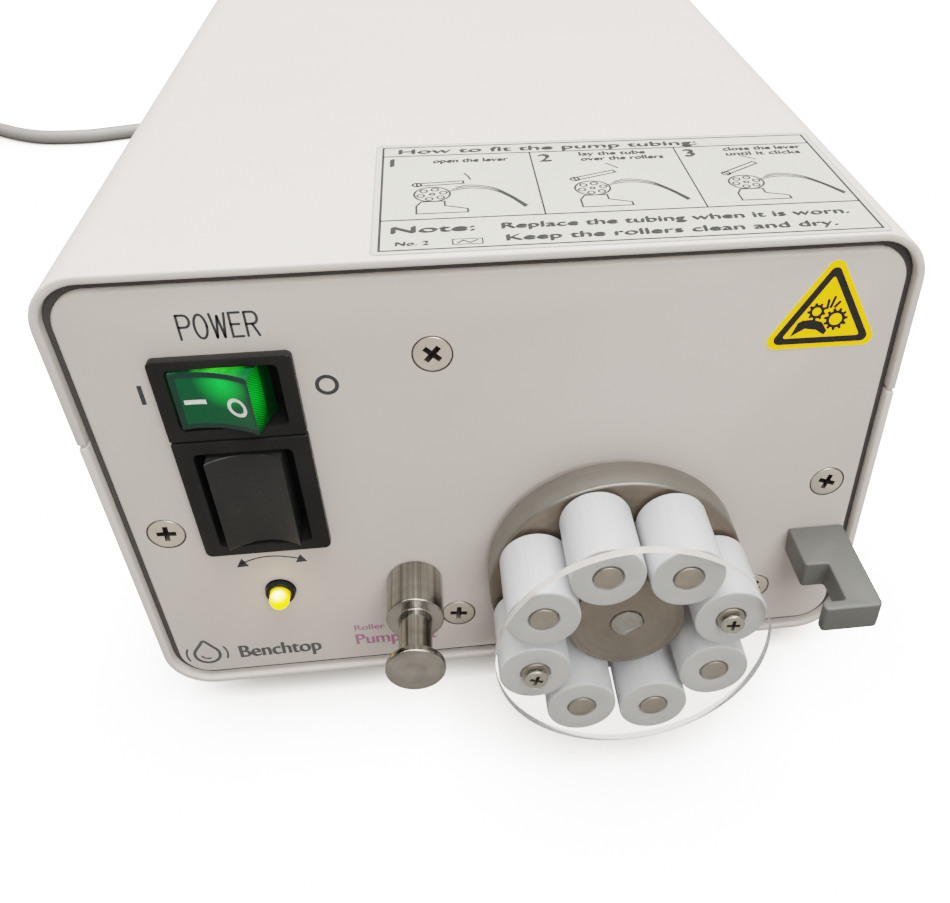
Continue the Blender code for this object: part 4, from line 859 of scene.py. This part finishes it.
def u_outline(side_end, corner_z, inward, steps=12):
    outer_x = CASE_W / 2
    inner_x = outer_x - SHEET
    outer_r = PANEL_R + GAP_ROUND + SHEET
    inner_r = outer_r - SHEET
    cx, cz, turn = outer_x - outer_r, corner_z - inward * outer_r, 90 * inward
    outside = arc(cx, cz, outer_r, 0, turn, steps) + arc(-cx, cz, outer_r, turn, 2 * turn, steps)
    inside = arc(-cx, cz, inner_r, 2 * turn, turn, steps) + arc(cx, cz, inner_r, turn, 0, steps)
    return ([(outer_x, side_end)] + outside + [(-outer_x, side_end), (-inner_x, side_end)] + inside
            + [(inner_x, side_end)])


def build_case():
    for name, node, outline in (("cover", "top_cover", u_outline(SEAM, TOP, 1)),
                                ("shell", "bottom_shell", u_outline(SEAM - 0.4, BOTTOM, -1))):
        make(name, soften(prism(outline, -RECESS, REAR), 0.55, 3, 60), M["case"], stands_for=node)
    # dark sheets behind the gaps round both panels: painted shade in the gaps
    for label, y in (("front", 1.5), ("rear", REAR_FACE - 2.3)):
        shade_sheet, hole = (rounded(width, height, radius, 0.0, PANEL_H / 2, 10) for width, height, radius in (
            (CASE_W - 2 * SHEET - 0.3, CASE_H - 2 * SHEET - 0.3, 8.4),
            (PANEL_W + 0.2, PANEL_H + 0.2, PANEL_R + 0.1)))
        bm = combined(prism(shade_sheet, y, y + 0.8), [prism(hole, y - 1.0, y + 2.0)])
        make("gap_shade_sheet_" + label, bm, M["inside"])
    wall = CASE_W / 2 - SHEET
    for side, label in ((-1, "left"), (1, "right")):
        lap = [(side * (wall - inset), SEAM + rise) for inset, rise in (
            (1.5, -9), (0.05, -9), (0.05, -0.9), (0.3, -0.7), (0.3, 9), (1.5, 9))]
        bm = prism(lap, PANEL_T + 1.5, REAR_FACE - PANEL_T - 1.5)
        make("shell_lap_" + label, bm, M["case"])


def screw_cutter(x, z, face=0.0, inward=1.0):
    """Countersink and hole for a screw whose head is flush with the face."""
    sink_r, hole_r = 4.05, 2.3
    profile = [(0.0, -1.0), (sink_r, -1.0), (sink_r, 0.0), (hole_r, 2.0), (hole_r, 5.0), (0.0, 5.0)]
    return shifted(lathe([(r, inward * d) for r, d in profile], 48), x, face, z)


def through(outline, start=-2.0):
    """A cutter of that outline, long enough to go right through a panel."""
    return prism(outline, start, start + 6.0)


def plate(start, edge, tools):
    """A panel less those cutters, taken away in their order."""
    outline = rounded(PANEL_W, PANEL_H, PANEL_R, 0.0, PANEL_H / 2, 12)
    return combined(soften(prism(outline, start, start + PANEL_T), edge, 3, 60), tools)


def build_front_panel():
    tools = [through(rounded(23.7, 16.4, 0.5, SWITCH_X, MAINS_Z, 2)),
             through(rounded(22.4, 27.4, 0.5, SWITCH_X, DIRECTION_Z, 2)),
             through(ring(3.5, 32, *LED)), through(ring(7.0, 48, *ROTOR)), through(ring(2.4, 24, *POST))]
    bm = plate(0.0, 0.75, tools + [screw_cutter(x, z) for x, z in PANEL_SCREWS])
    bm.normal_update()
    # the countersinks round the screw heads take the dark material as painted shade
    for face in bm.faces:
        c = face.calc_center_median()
        sunk = face.normal.y > -0.95 and any(math.hypot(c.x - x, c.z - z) < 4.1 for x, z in PANEL_SCREWS)
        face.material_index = int(sunk)
    make("front_plate", bm, [M["panel"], M["inside"]], stands_for="front_panel")


def build_rear_panel():
    start = REAR_FACE - 4.0
    tools = [through(rounded(28.6, 20.8, 0.5, *INLET, 2), start)]
    tools += [screw_cutter(x, REAR_SCREW_Z, REAR_FACE, -1.0) for x in REAR_SCREW_X.values()]
    tools += [through(ring(1.8, 20, INLET[0] + side * 20.0, INLET[1]), start) for side in (-1, 1)]
    make("rear_plate", plate(REAR_FACE - PANEL_T, 0.6, tools), M["panel"], stands_for="rear_panel")


def build_feet():
    profile = fillet([(0.0, -6.7), (7.8, -6.7), (9.0, -5.4), (8.1, 0.0), (0.0, 0.0)],
                     {1: 0.6, 2: 1.2, 3: 0.4}, 4, False)
    for end, y in (("front", 30), ("rear", 268)):
        for side, x in (("left", -60), ("right", 60)):
            node = "foot_%s_%s" % (end, side)
            make("rubber_" + node, lathe(profile, 48, axis=(0, 0, 1)), M["rubber"], at=(x, y, BOTTOM - 0.3),
                 stands_for=node)


# ================================================================ screws

def cross_tool(reach, arm, top, depth, turn):
    """Tapered cross for a screw's recess, its mouth at y = top and going to y = top + depth."""
    half = arm / 2
    shape = [(half, half), (reach, half), (reach, -half), (half, -half), (half, -reach), (-half, -reach),
             (-half, -half), (-reach, -half), (-reach, half), (-half, half), (-half, reach), (half, reach)]
    bm = bmesh.new()
    rings = [[bm.verts.new((x * scale, y, z * scale)) for x, z in shape]
             for y, scale in ((top - 0.6 * math.copysign(1, depth), 1.12), (top + depth, 0.52))]
    bridge(bm, *rings)
    bm.faces.new(rings[0])
    bm.faces.new(rings[1])
    bmesh.ops.rotate(bm, verts=bm.verts, cent=(0, 0, 0), matrix=Matrix.Rotation(turn, 3, "Y"))
    bmesh.ops.recalc_face_normals(bm, faces=bm.faces)
    return bm


def shade_recess_faces(bm, inside):
    """Give the recess faces, picked by a test of their centres, the second material, dark as painted shade.
    """
    for face in bm.faces:
        face.material_index = int(inside(face.calc_center_median()))


def countersunk(name, x, z, face, inward, turn):
    """An M4 countersunk screw with a cross recess, its head flush with the face."""
    head_r, thread_r, long = 3.76, 2.0, 11.0
    profile = fillet([(0.0, 0.0), (head_r, 0.0), (head_r, 0.4), (thread_r, 2.0), (thread_r, long),
                      (0.0, long)], {1: 0.3}, 4, False)
    bm = lathe([(r, inward * d) for r, d in profile], 56)
    bm = combined(bm, [cross_tool(2.05, 1.15, inward * 0.08, inward * 1.7, turn)])
    shade_recess_faces(bm, lambda c: math.hypot(c.x, c.z) < 2.15 and 0.12 < inward * c.y < 1.9)
    make(name + "_fine", bm, [M["screw"], M["recess"]], at=(x, face, z), stands_for=name,
         angle=30)


def build_panel_screws():
    turns = (42.0, 3.0, 8.0, 20.0, 30.0)
    for i, ((x, z), turn) in enumerate(zip(PANEL_SCREWS, turns), start=1):
        countersunk("panel_screw_%d" % i, x, z, 0.0, 1.0, math.radians(turn))
    for label, x in REAR_SCREW_X.items():
        countersunk("rear_screw_" + label, x, REAR_SCREW_Z, REAR_FACE, -1.0, 0.5)


# ================================================================ switches and lamp

def switch_body(name, z, bottom, top, radii, well, stands_for):
    """Bezel round a well, with a body behind the panel; radii are its lower and upper corners."""
    low, high = radii
    left, right = SWITCH_X - 13.25, SWITCH_X + 13.25
    outline = fillet([(left, bottom), (right, bottom), (right, top), (left, top)],
                     {0: low, 1: low, 2: high, 3: high}, 5)
    bm = soften(prism(outline, -2.4, -0.3), 0.32, 3, 60)
    box = prism(rounded(well[0] + 2.4, well[1] + 2.4, 0.4, SWITCH_X, z, 2), -1.5, 22.0)
    bm = combined(bm, [box], "UNION")
    hollow = prism(rounded(well[0], well[1], 1.2, SWITCH_X, z, 5), -4.0, 9.2)
    bm = combined(bm, [hollow])
    make(name, bm, M["bezel"], stands_for=stands_for, angle=30)


def dish_radius(half_w, dish):
    return (half_w ** 2 + dish ** 2) / (2 * dish)


def rocker_mesh(half_w, reach, dish, waist, heel, half_h, edge, root=0.0):
    """A dished rocker about its pivot (local z), with rounded rims on its dished face."""
    radius = dish_radius(half_w, dish)
    spread = math.degrees(math.asin(half_w / radius))
    front = arc(0.0, -reach + dish - radius, radius, 90 + spread, 90 - spread, 28)
    back = arc(0.0, 0.0, heel, -20, 200, 12)
    root_right = [(half_w + 0.5, root)] if root else []
    root_left = [(-half_w - 0.5, root)] if root else []
    outline = front + [(half_w, -waist)] + root_right + back + root_left + [(-half_w, -waist)]
    bm = prism(outline, -half_h, half_h, "Z")
    soften(bm, edge, 3, 40, lambda e: min(v.co.y for v in e.verts) < -waist - 0.5
           and max(v.co.y for v in e.verts) < -waist + 0.5)
    return bm


def build_mains_rocker():
    """The lit rocker, pressed in on its bar side, with its printed bar and ring."""
    bm = rocker_mesh(*LIT_ROCKER, 4.4, 2.0, 6.4, 0.28, -1.0)
    bm.normal_update()
    for face in bm.faces:
        face.material_index = 2 if abs(face.normal.z) > 0.75 else int(abs(face.normal.x) > 0.8)
    at = (SWITCH_X, 5.2, MAINS_Z)
    turn = (0.0, 0.0, -MAINS_TILT)
    make("rocker_lit", bm, [M["green_front"], M["green_end"], M["green_flank"]], "mains_rocker", at,
         "mains_rocker", turn=turn)
    for name, points, width, closed in (("bar", [(-6.0 + 0.5 * i, -0.2) for i in range(9)], 0.95, False),
                                        ("ring", ring(1.72, 40, 4.1, -0.9), 0.72, True)):
        make("rocker_mark_" + name, draped_strip(points, width, closed), M["white_ink"], "mains_rocker", at,
             turn=turn)


def dish_y(x):
    """Depth of the lit rocker's dished face at x, measured from the pivot."""
    half_w, reach, dish = LIT_ROCKER
    radius = dish_radius(half_w, dish)
    return -reach + dish - radius + math.sqrt(radius ** 2 - x ** 2)


def draped_strip(points, width, closed):
    """A printed line on the lit rocker's face through the points (x, z), looking towards -y."""
    bm = bmesh.new()
    count = len(points)
    rows = []
    for i, (x, z) in enumerate(points):
        before = points[i - 1] if (i or closed) else points[i]
        after = points[(i + 1) % count] if (i < count - 1 or closed) else points[i]
        along = Vector((after[0] - before[0], after[1] - before[1])).normalized()
        side = Vector((-along.y, along.x)) * width / 2
        rows.append([bm.verts.new((px, dish_y(px) - INK_LIFT, pz))
                     for px, pz in ((x + side.x, z + side.y), (x - side.x, z - side.y))])
    for i in range(count if closed else count - 1):
        a, b = rows[i], rows[(i + 1) % count]
        bm.faces.new((a[0], a[1], b[1], b[0]))
    bm.normal_update()
    bmesh.ops.reverse_faces(bm, faces=[f for f in bm.faces if f.normal.y > 0])
    return bm


def build_direction_rocker():
    bm = rocker_mesh(7.5, 9.7, 2.7, 3.4, 2.6, 11.6, 0.45)
    make("rocker_plain", bm, M["paddle"], "direction_rocker", (SWITCH_X, 5.0, DIRECTION_Z - 0.2),
         "direction_rocker")


def build_lamp():
    profile = fillet([(2.4, -1.6), (3.25, -1.6), (3.25, -0.3), (3.1, -0.3), (3.1, 6.0), (2.4, 6.0)],
                     {0: 0.15, 1: 0.5}, 4)
    make("lamp_clip", lathe(profile, 56, True), M["bezel"], at=(LED[0], 0.0, LED[1]), stands_for="led_clip")
    dome = arc(0.0, -3.2, 2.2, -90, 0, 14)
    dome[0] = (0.0, -5.4)
    lens = dome + [(2.2, 5.0), (0.0, 5.0)]
    make("lamp_lens", lathe(lens, 48), M["lamp"], at=(LED[0], 0.0, LED[1]), stands_for="led_lens")


# ================================================================ post and catch

def build_post():
    profile = fillet([(0.0, -27.4), (6.35, -27.4), (6.35, -25.7), (3.65, -25.7), (3.65, -12.7), (6.4, -12.7),
                      (6.4, -0.3), (2.1, -0.3), (2.1, 6.0), (0.0, 6.0)],
                     {1: 0.35, 2: 0.3, 3: 0.25, 4: 0.3, 5: 0.35, 6: 0.2}, 4, False)
    make("post_turned", lathe(profile, 96), M["steel"], at=(POST[0], 0.0, POST[1]),
         stands_for="cassette_post")


def build_catch():
    outline = [(66.1, -0.3), (79.2, -0.3), (79.2, -27.2), (66.1, -27.2), (66.1, -24.6), (71.5, -24.6),
               (71.5, -13.0), (66.1, -13.0)]
    outline = fillet(outline, {2: 1.3, 3: 0.9, 4: 0.5, 5: 0.7, 6: 0.7, 7: 0.9}, 5)
    bm = soften(prism(outline, 24.7, 31.7, "Z"), 0.45, 3, 50)
    make("catch_block", bm, M["catch"], stands_for="lever_catch")


# ================================================================ pump head

def roller_place(index):
    angle = math.radians(150.5 - 45.0 * index)
    return ROTOR[0] + ROLLER_RING * math.cos(angle), ROTOR[1] + ROLLER_RING * math.sin(angle)


def d_shape(radius, flat, steps=48):
    """A circle with one flat at that distance from its middle."""
    half = math.degrees(math.acos(flat / radius))
    return arc(0.0, 0.0, radius, -52.0 + half, -52.0 + 360.0 - half, steps)


def build_hub():
    profile = fillet([(0.0, BOSS_FACE), (BOSS_R, BOSS_FACE), (BOSS_R, HUB_FACE), (HUB_R, HUB_FACE),
                      (HUB_R, HUB_BACK), (0.0, HUB_BACK)], {1: 0.4, 2: 0.3, 3: 0.55, 4: 0.5}, 4, False)
    bm = lathe(profile, 128)
    tools = [prism(d_shape(3.8, 2.9), -24.0, 0.0)]
    for i in range(8):
        x, z = roller_place(i)
        tools.append(prism(ring(3.3, 28, x - ROTOR[0], z - ROTOR[1]), -12.0, -5.4))
    make("hub_turned", combined(bm, tools), M["hub"], "rotor", HUB_AT, "rotor_hub", angle=30)


def build_shaft():
    bm = soften(prism(d_shape(3.5, 2.6), -22.9, 16.0), 0.35, 2, 60)
    make("shaft_end", bm, M["steel"], "rotor", HUB_AT, "drive_shaft")


def build_rollers():
    bore, pin_r, pin_front, pin_back = 3.3, 2.92, ROLLER_FRONT - 0.1, -5.7
    roller = fillet([(bore, ROLLER_FRONT), (ROLLER_R, ROLLER_FRONT), (ROLLER_R, ROLLER_BACK),
                     (bore, ROLLER_BACK)], {0: 0.2, 1: 0.5, 2: 0.5, 3: 0.2}, 4)
    pin = fillet([(0.0, pin_front), (pin_r, pin_front), (pin_r, pin_back), (0.0, pin_back)],
                 {1: 0.3}, 3, False)
    for i in range(8):
        x, z = roller_place(i)
        name = "roller_%d" % (i + 1)
        make("acetal_" + name, lathe(roller, 80, True), M["roller"], name, (x, 0.0, z), name)
        bm = lathe(pin, 48)
        if i in SCREWED:
            bm = combined(bm, [prism(ring(1.8, 24), -31.0, -22.4)])
        pin_name = "roller_pin_%d" % (i + 1)
        make("steel_" + pin_name, bm, M["pin"], "rotor", (x, 0.0, z), pin_name)


def build_guard_disc():
    profile = fillet([(0.0, DISC_FRONT), (DISC_R, DISC_FRONT), (DISC_R, DISC_BACK), (0.0, DISC_BACK)],
                     {1: 0.22, 2: 0.22}, 2, False)
    bm = lathe(profile, 160)
    sink_profile = [(0.0, -33.0), (3.15, -33.0), (3.15, -30.98), (1.8, -29.63), (1.8, -28.0), (0.0, -28.0)]
    places = [roller_place(i) for i in SCREWED]
    bm = combined(bm, [shifted(lathe(sink_profile, 40), x - ROTOR[0], 0.0, z - ROTOR[1]) for x, z in places])
    bm.normal_update()
    for face in bm.faces:
        c = face.calc_center_median()
        face.material_index = int(math.hypot(c.x, c.z) > 28.0 and abs(face.normal.y) < 0.9)
    make("disc_clear", bm, [M["acrylic"], M["edge"]], "rotor", HUB_AT, "guard_disc",
         angle=30)


def build_guard_screws():
    head_r, head_face, thread_r, tip = 2.55, DISC_FRONT + 0.4, 1.5, -23.4
    profile = fillet([(0.0, head_face), (head_r, head_face), (head_r, -30.8), (thread_r, -29.75),
                      (thread_r, tip), (0.0, tip)], {1: 0.3}, 4, False)
    for number, i in enumerate(SCREWED, start=1):
        x, z = roller_place(i)
        tool = cross_tool(1.55, 0.85, head_face, 1.2, math.radians(-8.0 + 14.0 * number))
        bm = combined(lathe(profile, 56), [tool])
        shade_recess_faces(bm, lambda c: math.hypot(c.x, c.z) < 1.75 and -31.3 < c.y < -30.0)
        name = "guard_screw_%d" % number
        make(name + "_fine", bm, [M["small_screw"], M["recess"]], "rotor", (x, 0.0, z), name,
             angle=30)


# ================================================================ printing and labels

STRIKE_LIFT = 0.012     # between the strikes of one bold text, so that none share a plane
FONT_CAP = 0.729        # cap height of the built-in font at size 1
LABEL = ((-22.5, 1.0), (75.0, 0.0), (75.0, 53.4), (-22.5, 56.0))    # corners on the cover, from front left
LABEL_W, LABEL_H, LABEL_THICK = 97.5, 54.0, 0.12


def on_panel(u, v):
    return Vector((u, -INK_LIFT, v))


def on_label(u, v, lift=LABEL_THICK + INK_LIFT):
    a, b = u / LABEL_W, v / LABEL_H
    weights = ((1 - a) * (1 - b), a * (1 - b), a * b, (1 - a) * b)
    return Vector((*(sum(w * c[k] for w, c in zip(weights, LABEL)) for k in (0, 1)), TOP + lift))


class Print:
    """Flat printing in one ink; place turns (u, v) in millimetres into a point on its surface."""

    def __init__(self, place):
        self.bm, self.place = bmesh.new(), place

    def verts(self, points):
        return [self.bm.verts.new(self.place(*p)) for p in points]

    def fill(self, outline):
        self.bm.faces.new(self.verts(outline))

    def band(self, outer, inner):
        """The area between two outlines with the same number of points."""
        bridge(self.bm, self.verts(outer), self.verts(inner))

    def cog(self, cx, cy, radius, teeth, hole, start=0.0):
        turns = [math.radians(start) + 2 * math.pi * i / (teeth * 8) for i in range(teeth * 8)]
        tips = [radius if i % 8 < 4 else radius * 0.78 for i in range(teeth * 8)]
        self.band([(cx + r * math.cos(t), cy + r * math.sin(t)) for r, t in zip(tips, turns)],
                  [(cx + hole * math.cos(t), cy + hole * math.sin(t)) for t in turns])

    def text(self, text, at, cap, width=None, weight=0.0):
        """Letters with a cap height in millimetres, squeezed to a width and struck thrice for weight."""
        curve = bpy.data.curves.new("text", "FONT")
        curve.body = text
        curve.size = cap / FONT_CAP
        curve.resolution_u = 4
        obj = bpy.data.objects.new("text", curve)
        bpy.context.scene.collection.objects.link(obj)
        graph = bpy.context.evaluated_depsgraph_get()
        mesh = bpy.data.meshes.new_from_object(obj.evaluated_get(graph), depsgraph=graph)
        bpy.data.objects.remove(obj)
        bpy.data.curves.remove(curve)
        low = min(v.co.x for v in mesh.vertices)
        stretch = width / (max(v.co.x for v in mesh.vertices) - low) if width else 1.0
        flat = self.place is on_label
        out, tall = (Vector((0.0, 0.0, 1.0)), 1.0) if flat else (Vector((0.0, -1.0, 0.0)), 0.4)
        for i in ((-1, 0, 1) if weight else (0,)):
            rise = out * STRIKE_LIFT * (i + 1)
            u, v = at[0] + i * weight, at[1] + i * weight * tall
            verts = [self.bm.verts.new(rise + self.place(u + (k.co.x - low) * stretch, v + k.co.y))
                     for k in mesh.vertices]
            for polygon in mesh.polygons:
                self.bm.faces.new([verts[k] for k in polygon.vertices])
        bpy.data.meshes.remove(mesh)

    def stroke(self, points, width, closed=False, round_ends=True):
        """A line of even width through 2-D points, mitred at its corners."""
        flat = [Vector(p) for p in points]
        count = len(flat)
        sides = [], []
        for i, here in enumerate(flat):
            ahead = (flat[(i + 1) % count] - here).normalized() if i < count - 1 or closed else None
            a = (here - flat[i - 1]).normalized() if i or closed else ahead
            b = a if ahead is None else ahead
            bisector = (a + b).normalized() if (a + b).length > 1e-6 else a
            side = Vector((-bisector.y, bisector.x))
            reach = width / 2 / max(0.5, side.dot(Vector((-a.y, a.x))))
            sides[0].append(here + side * reach)
            sides[1].append(here - side * reach)
        left, right = (self.verts(points) for points in sides)
        for i in range(count if closed else count - 1):
            j = (i + 1) % count
            self.bm.faces.new((right[i], right[j], left[j], left[i]))
        if round_ends and not closed:
            for end, other in ((flat[0], flat[1]), (flat[-1], flat[-2])):
                away = math.degrees(math.atan2((end - other).y, (end - other).x))
                self.fill(arc(end.x, end.y, width / 2, away - 90, away + 90, 6))

    def curve(self, points, step, width, round_ends=True):
        """A stroke along a smooth curve through the points."""
        smooth = smooth_line([Vector((*p, 0.0)) for p in points], step)
        self.stroke([tuple(p.xy) for p in smooth], width, round_ends=round_ends)


def print_power(ink):
    """POWER in thin single strokes, drawn in cells 0.62 wide and 1 high."""
    bowl = [(0.0, 1.0), (0.34, 1.0)] + arc(0.34, 0.75, 0.25, 90, -90, 8)[1:] + [(0.0, 0.5)]
    letters = {"P": [[(0, 0), (0, 1)], bowl],
               "O": [[(0.3 + 0.6 * x, 0.5 + y) for x, y in arc(0, 0, 0.5, 0, 360, 24)]],
               "W": [[(0, 1), (0.17, 0)], [(0.17, 0), (0.36, 0.9)], [(0.36, 0.9), (0.55, 0)],
                     [(0.55, 0), (0.72, 1)]],
               "E": [[(0.52, 1), (0, 1), (0, 0), (0.52, 0)], [(0, 0.52), (0.42, 0.52)]],
               "R": [[(0, 0), (0, 1)], bowl, [(0.3, 0.5), (0.56, 0)]]}
    height, width, x = 4.9, 0.74 * 4.9, -58.3
    for letter, advance in (("P", 0.72), ("O", 0.76), ("W", 0.88), ("E", 0.68), ("R", 0.6)):
        for line in letters[letter]:
            ink.stroke([(x + width * u, 91.2 + height * v) for u, v in line], 0.5)
        x += width * advance + 0.25


def build_panel_printing():
    ink = Print(on_panel)
    print_power(ink)
    ink.fill([(-69.0, 77.7), (-68.1, 77.7), (-68.1, 82.0), (-69.0, 82.0)])
    ink.stroke(ring(1.9, 40, -33.9, 79.5), 0.8, closed=True)
    ink.curve([(-60.0, 34.6), (-55.8, 35.95), (-51.7, 36.05), (-47.1, 34.9)], 0.7, 0.36, False)
    ink.fill([(-60.9, 33.6), (-58.1, 33.7), (-59.35, 36.2)])
    ink.fill([(-45.4, 33.75), (-46.65, 36.1), (-48.0, 33.7)])
    make("panel_marks", ink.bm, M["grey_ink"])

    ink = Print(on_panel)
    drop = (-73.6, 6.3)
    ink.stroke(fillet([(drop[0], 11.2)] + arc(*drop, 2.9, 28, -208, 20), {0: 0.4}, 3), 0.75, closed=True)
    for radius, start, end in ((1.45, 200, 290), (4.7, 152, 202), (4.7, 28, -22)):
        ink.stroke(arc(*drop, radius, start, end, 8), 0.5)
    ink.text("Benchtop", (-66.0, 4.2), 4.3, 19.0, 0.2)
    make("panel_name", ink.bm, M["name_ink"])

    ink = Print(on_panel)
    ink.text("Roller type", (-38.2, 9.9), 1.9, 13.0, 0.06)
    ink.text("Pump unit", (-38.3, 5.0), 3.7, 19.3, 0.15)
    make("panel_type", ink.bm, M["magenta_ink"])


def build_caution_sign():
    """Yellow triangle with a dark border, a hand and two meshing wheels."""
    film_thick = 0.14
    corners = [(51.9, 80.9), (77.0, 80.7), (65.4, 101.6)]
    centre = sum((Vector(c) for c in corners), Vector((0, 0))) / 3

    def triangle(scale, radius):
        return fillet([tuple(centre + (Vector(c) - centre) * scale) for c in corners], radius, 6)

    film = prism(triangle(1.0, 1.9), -film_thick, -0.01)
    make("caution_film", soften(film, 0.04, 1, 60), M["yellow"])
    ink = Print(lambda u, v: Vector((u, -film_thick - INK_LIFT, v)))
    ink.band(triangle(0.85, 1.2), triangle(0.645, 0.35))
    ink.cog(67.0, 87.1, 2.5, 11, 1.3)
    ink.cog(62.8, 89.0, 1.95, 9, 0.9, 14.0)
    ink.fill([(58.1, 83.6), (60.9, 85.3), (63.3, 84.9), (65.1, 83.7), (65.6, 84.6), (64.3, 86.6),
              (62.4, 87.3), (60.2, 87.2), (59.3, 86.7)])
    for line in (((64.85, 89.7), (64.9, 91.4)), ((65.55, 89.9), (66.1, 92.0)), ((66.4, 89.9), (67.2, 90.9))):
        ink.stroke(line, 0.6)
    make("caution_print", ink.bm, M["ink"])


def label_picture(ink, left, lever):
    """Base, rotor with rollers, tube and lever; lever is the lever's angle in degrees."""
    ink.stroke([(left + u, v) for u, v in ((2.0, 17.0), (12.0, 17.0), (12.0, 18.6), (7.6, 20.4), (7.6, 22.6),
                                           (3.0, 22.6), (2.0, 20.6))], 0.42, closed=True)
    cx, cy = left + 5.2, 26.2
    circles = [(3.6, 28, cx, cy, 0.44), (0.5, 10, cx, cy, 0.42), (0.9, 12, left + 2.2, 31.2, 0.44)]
    circles += [(0.72, 12, x, y, 0.38) for x, y in arc(cx, cy, 2.35, 15, 315, 5)]
    for *circle, width in circles:
        ink.stroke(ring(*circle), width, closed=True)
    turn = math.radians(lever)
    arm = Vector((math.cos(turn), math.sin(turn)))
    pivot = Vector((left + 2.2, 31.2))
    side = Vector((-arm.y, arm.x)) * 0.65
    tips = [pivot - side, pivot + arm * 9.5 - side, pivot + arm * 9.5 + side, pivot + side]
    ink.stroke(tips, 0.44, closed=True)
    for k in range(3):
        ink.curve([(left + 8.6 + 0.8 * k, 27.5 + 0.9 * k), (left + 13.0, 28.6 + 0.8 * k),
                   (left + 17.4, 27.2 + 0.7 * k), (left + 20.6, 23.4 + 0.6 * k),
                   (left + 23.2 + 0.3 * k, 18.4 + 0.3 * k)], 1.1, 0.36)
    ink.stroke(arc(pivot.x, pivot.y, 11.2, lever + 6, lever + 24, 6), 0.42)


def build_top_label():
    corners = fillet([(0.0, 0.0), (LABEL_W, 0.0), (LABEL_W, LABEL_H), (0.0, LABEL_H)], 1.2, 5)
    bm = bmesh.new()
    sides = [[bm.verts.new(on_label(u, v, lift)) for u, v in corners] for lift in (0.01, LABEL_THICK)]
    bm.faces.new(sides[0][::-1])
    bm.faces.new(sides[1])
    bridge(bm, *sides)
    make("top_label", bm, M["label"])
    right, high, rim = LABEL_W - 0.25, LABEL_H - 0.25, Print(on_label)
    rim.band(corners, fillet([(0.25, 0.25), (right, 0.25), (right, high), (0.25, high)], 1.0, 5))
    make("top_label_edge", rim.bm, M["label_edge"])

    ink = Print(on_label)
    left, right, low, high, upper, lower = 1.6, LABEL_W - 1.5, 1.5, LABEL_H - 1.5, 47.3, 14.4
    ink.stroke([(left, low), (right, low), (right, high), (left, high)], 0.5, closed=True)
    for line, width in (([(left, upper), (right, upper)], 0.5), ([(left, lower), (right, lower)], 0.5),
                        ([(33.3, lower), (33.3, upper)], 0.38), ([(65.3, lower), (65.3, upper)], 0.38)):
        ink.stroke(line, width, round_ends=False)
    for line in (("How to fit the pump tubing:", (5.0, 48.6), 2.7, 66.0, 0.17),
                 ("1", (3.3, 41.6), 4.3, None, 0.22),
                 ("open the lever", (12.3, 42.8), 2.25, 16.0, 0.13),
                 ("2", (35.0, 41.6), 4.3, None, 0.22),
                 ("lay the tube", (44.0, 44.2), 2.25, 14.5, 0.13),
                 ("over the rollers", (44.0, 41.2), 2.25, 18.0, 0.13),
                 ("3", (67.0, 41.6), 4.3, None, 0.22),
                 ("close the lever", (76.0, 44.2), 2.25, 17.5, 0.13),
                 ("until it clicks", (76.0, 41.2), 2.25, 16.5, 0.13),
                 ("Note:", (3.8, 8.6), 2.9, 15.5, 0.2),
                 ("Replace the tubing when it is worn.", (24.5, 8.8), 2.6, 67.5, 0.17),
                 ("Keep the rollers clean and dry.", (25.0, 3.6), 2.6, 63.0, 0.17),
                 ("No. 2", (4.6, 3.3), 1.7, 6.0, 0.12)):
        ink.text(*line)
    for start, lever in ((6.5, 4.0), (39.0, 22.0), (71.0, 36.0)):
        label_picture(ink, start, lever)
    ink.stroke([(15.0, 2.9), (20.5, 2.9), (20.5, 5.1), (15.0, 5.1)], 0.3, closed=True)
    ink.stroke([(15.9, 3.5), (17.0, 4.5), (18.2, 3.5), (19.6, 4.5)], 0.4)
    make("top_label_print", ink.bm, M["label_ink"])


# ================================================================ what the CAD shapes keep

def keep_cad():
    """CAD nodes whose shape is right get their finish here."""
    for key, nodes in (("zinc", "side_rail_left side_rail_right drive_plate"), ("motor", "gearmotor"),
                       ("core", "transformer"), ("board", "control_board"), ("bezel", "mains_inlet"),
                       ("screw", "inlet_screw_left inlet_screw_right")):
        for node in nodes.split():
            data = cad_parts[node].data
            data.materials.clear()
            data.materials.append(M[key])
            data.polygons.foreach_set("material_index", [0] * len(data.polygons))


build_case()
build_front_panel()
build_rear_panel()
build_feet()
build_panel_screws()
switch_body("bezel_mains", MAINS_Z, 69.85, 88.1, (0.55, 1.2), (20.7, 13.8), "mains_switch_body")
switch_body("bezel_direction", DIRECTION_Z, 39.3, 69.55, (1.4, 0.55), (19.4, 24.8), "direction_switch_body")
build_mains_rocker()
build_direction_rocker()
build_lamp()
build_post()
build_catch()
build_hub()
build_shaft()
build_rollers()
build_guard_disc()
build_guard_screws()
build_panel_printing()
build_caution_sign()
build_top_label()
keep_cad()
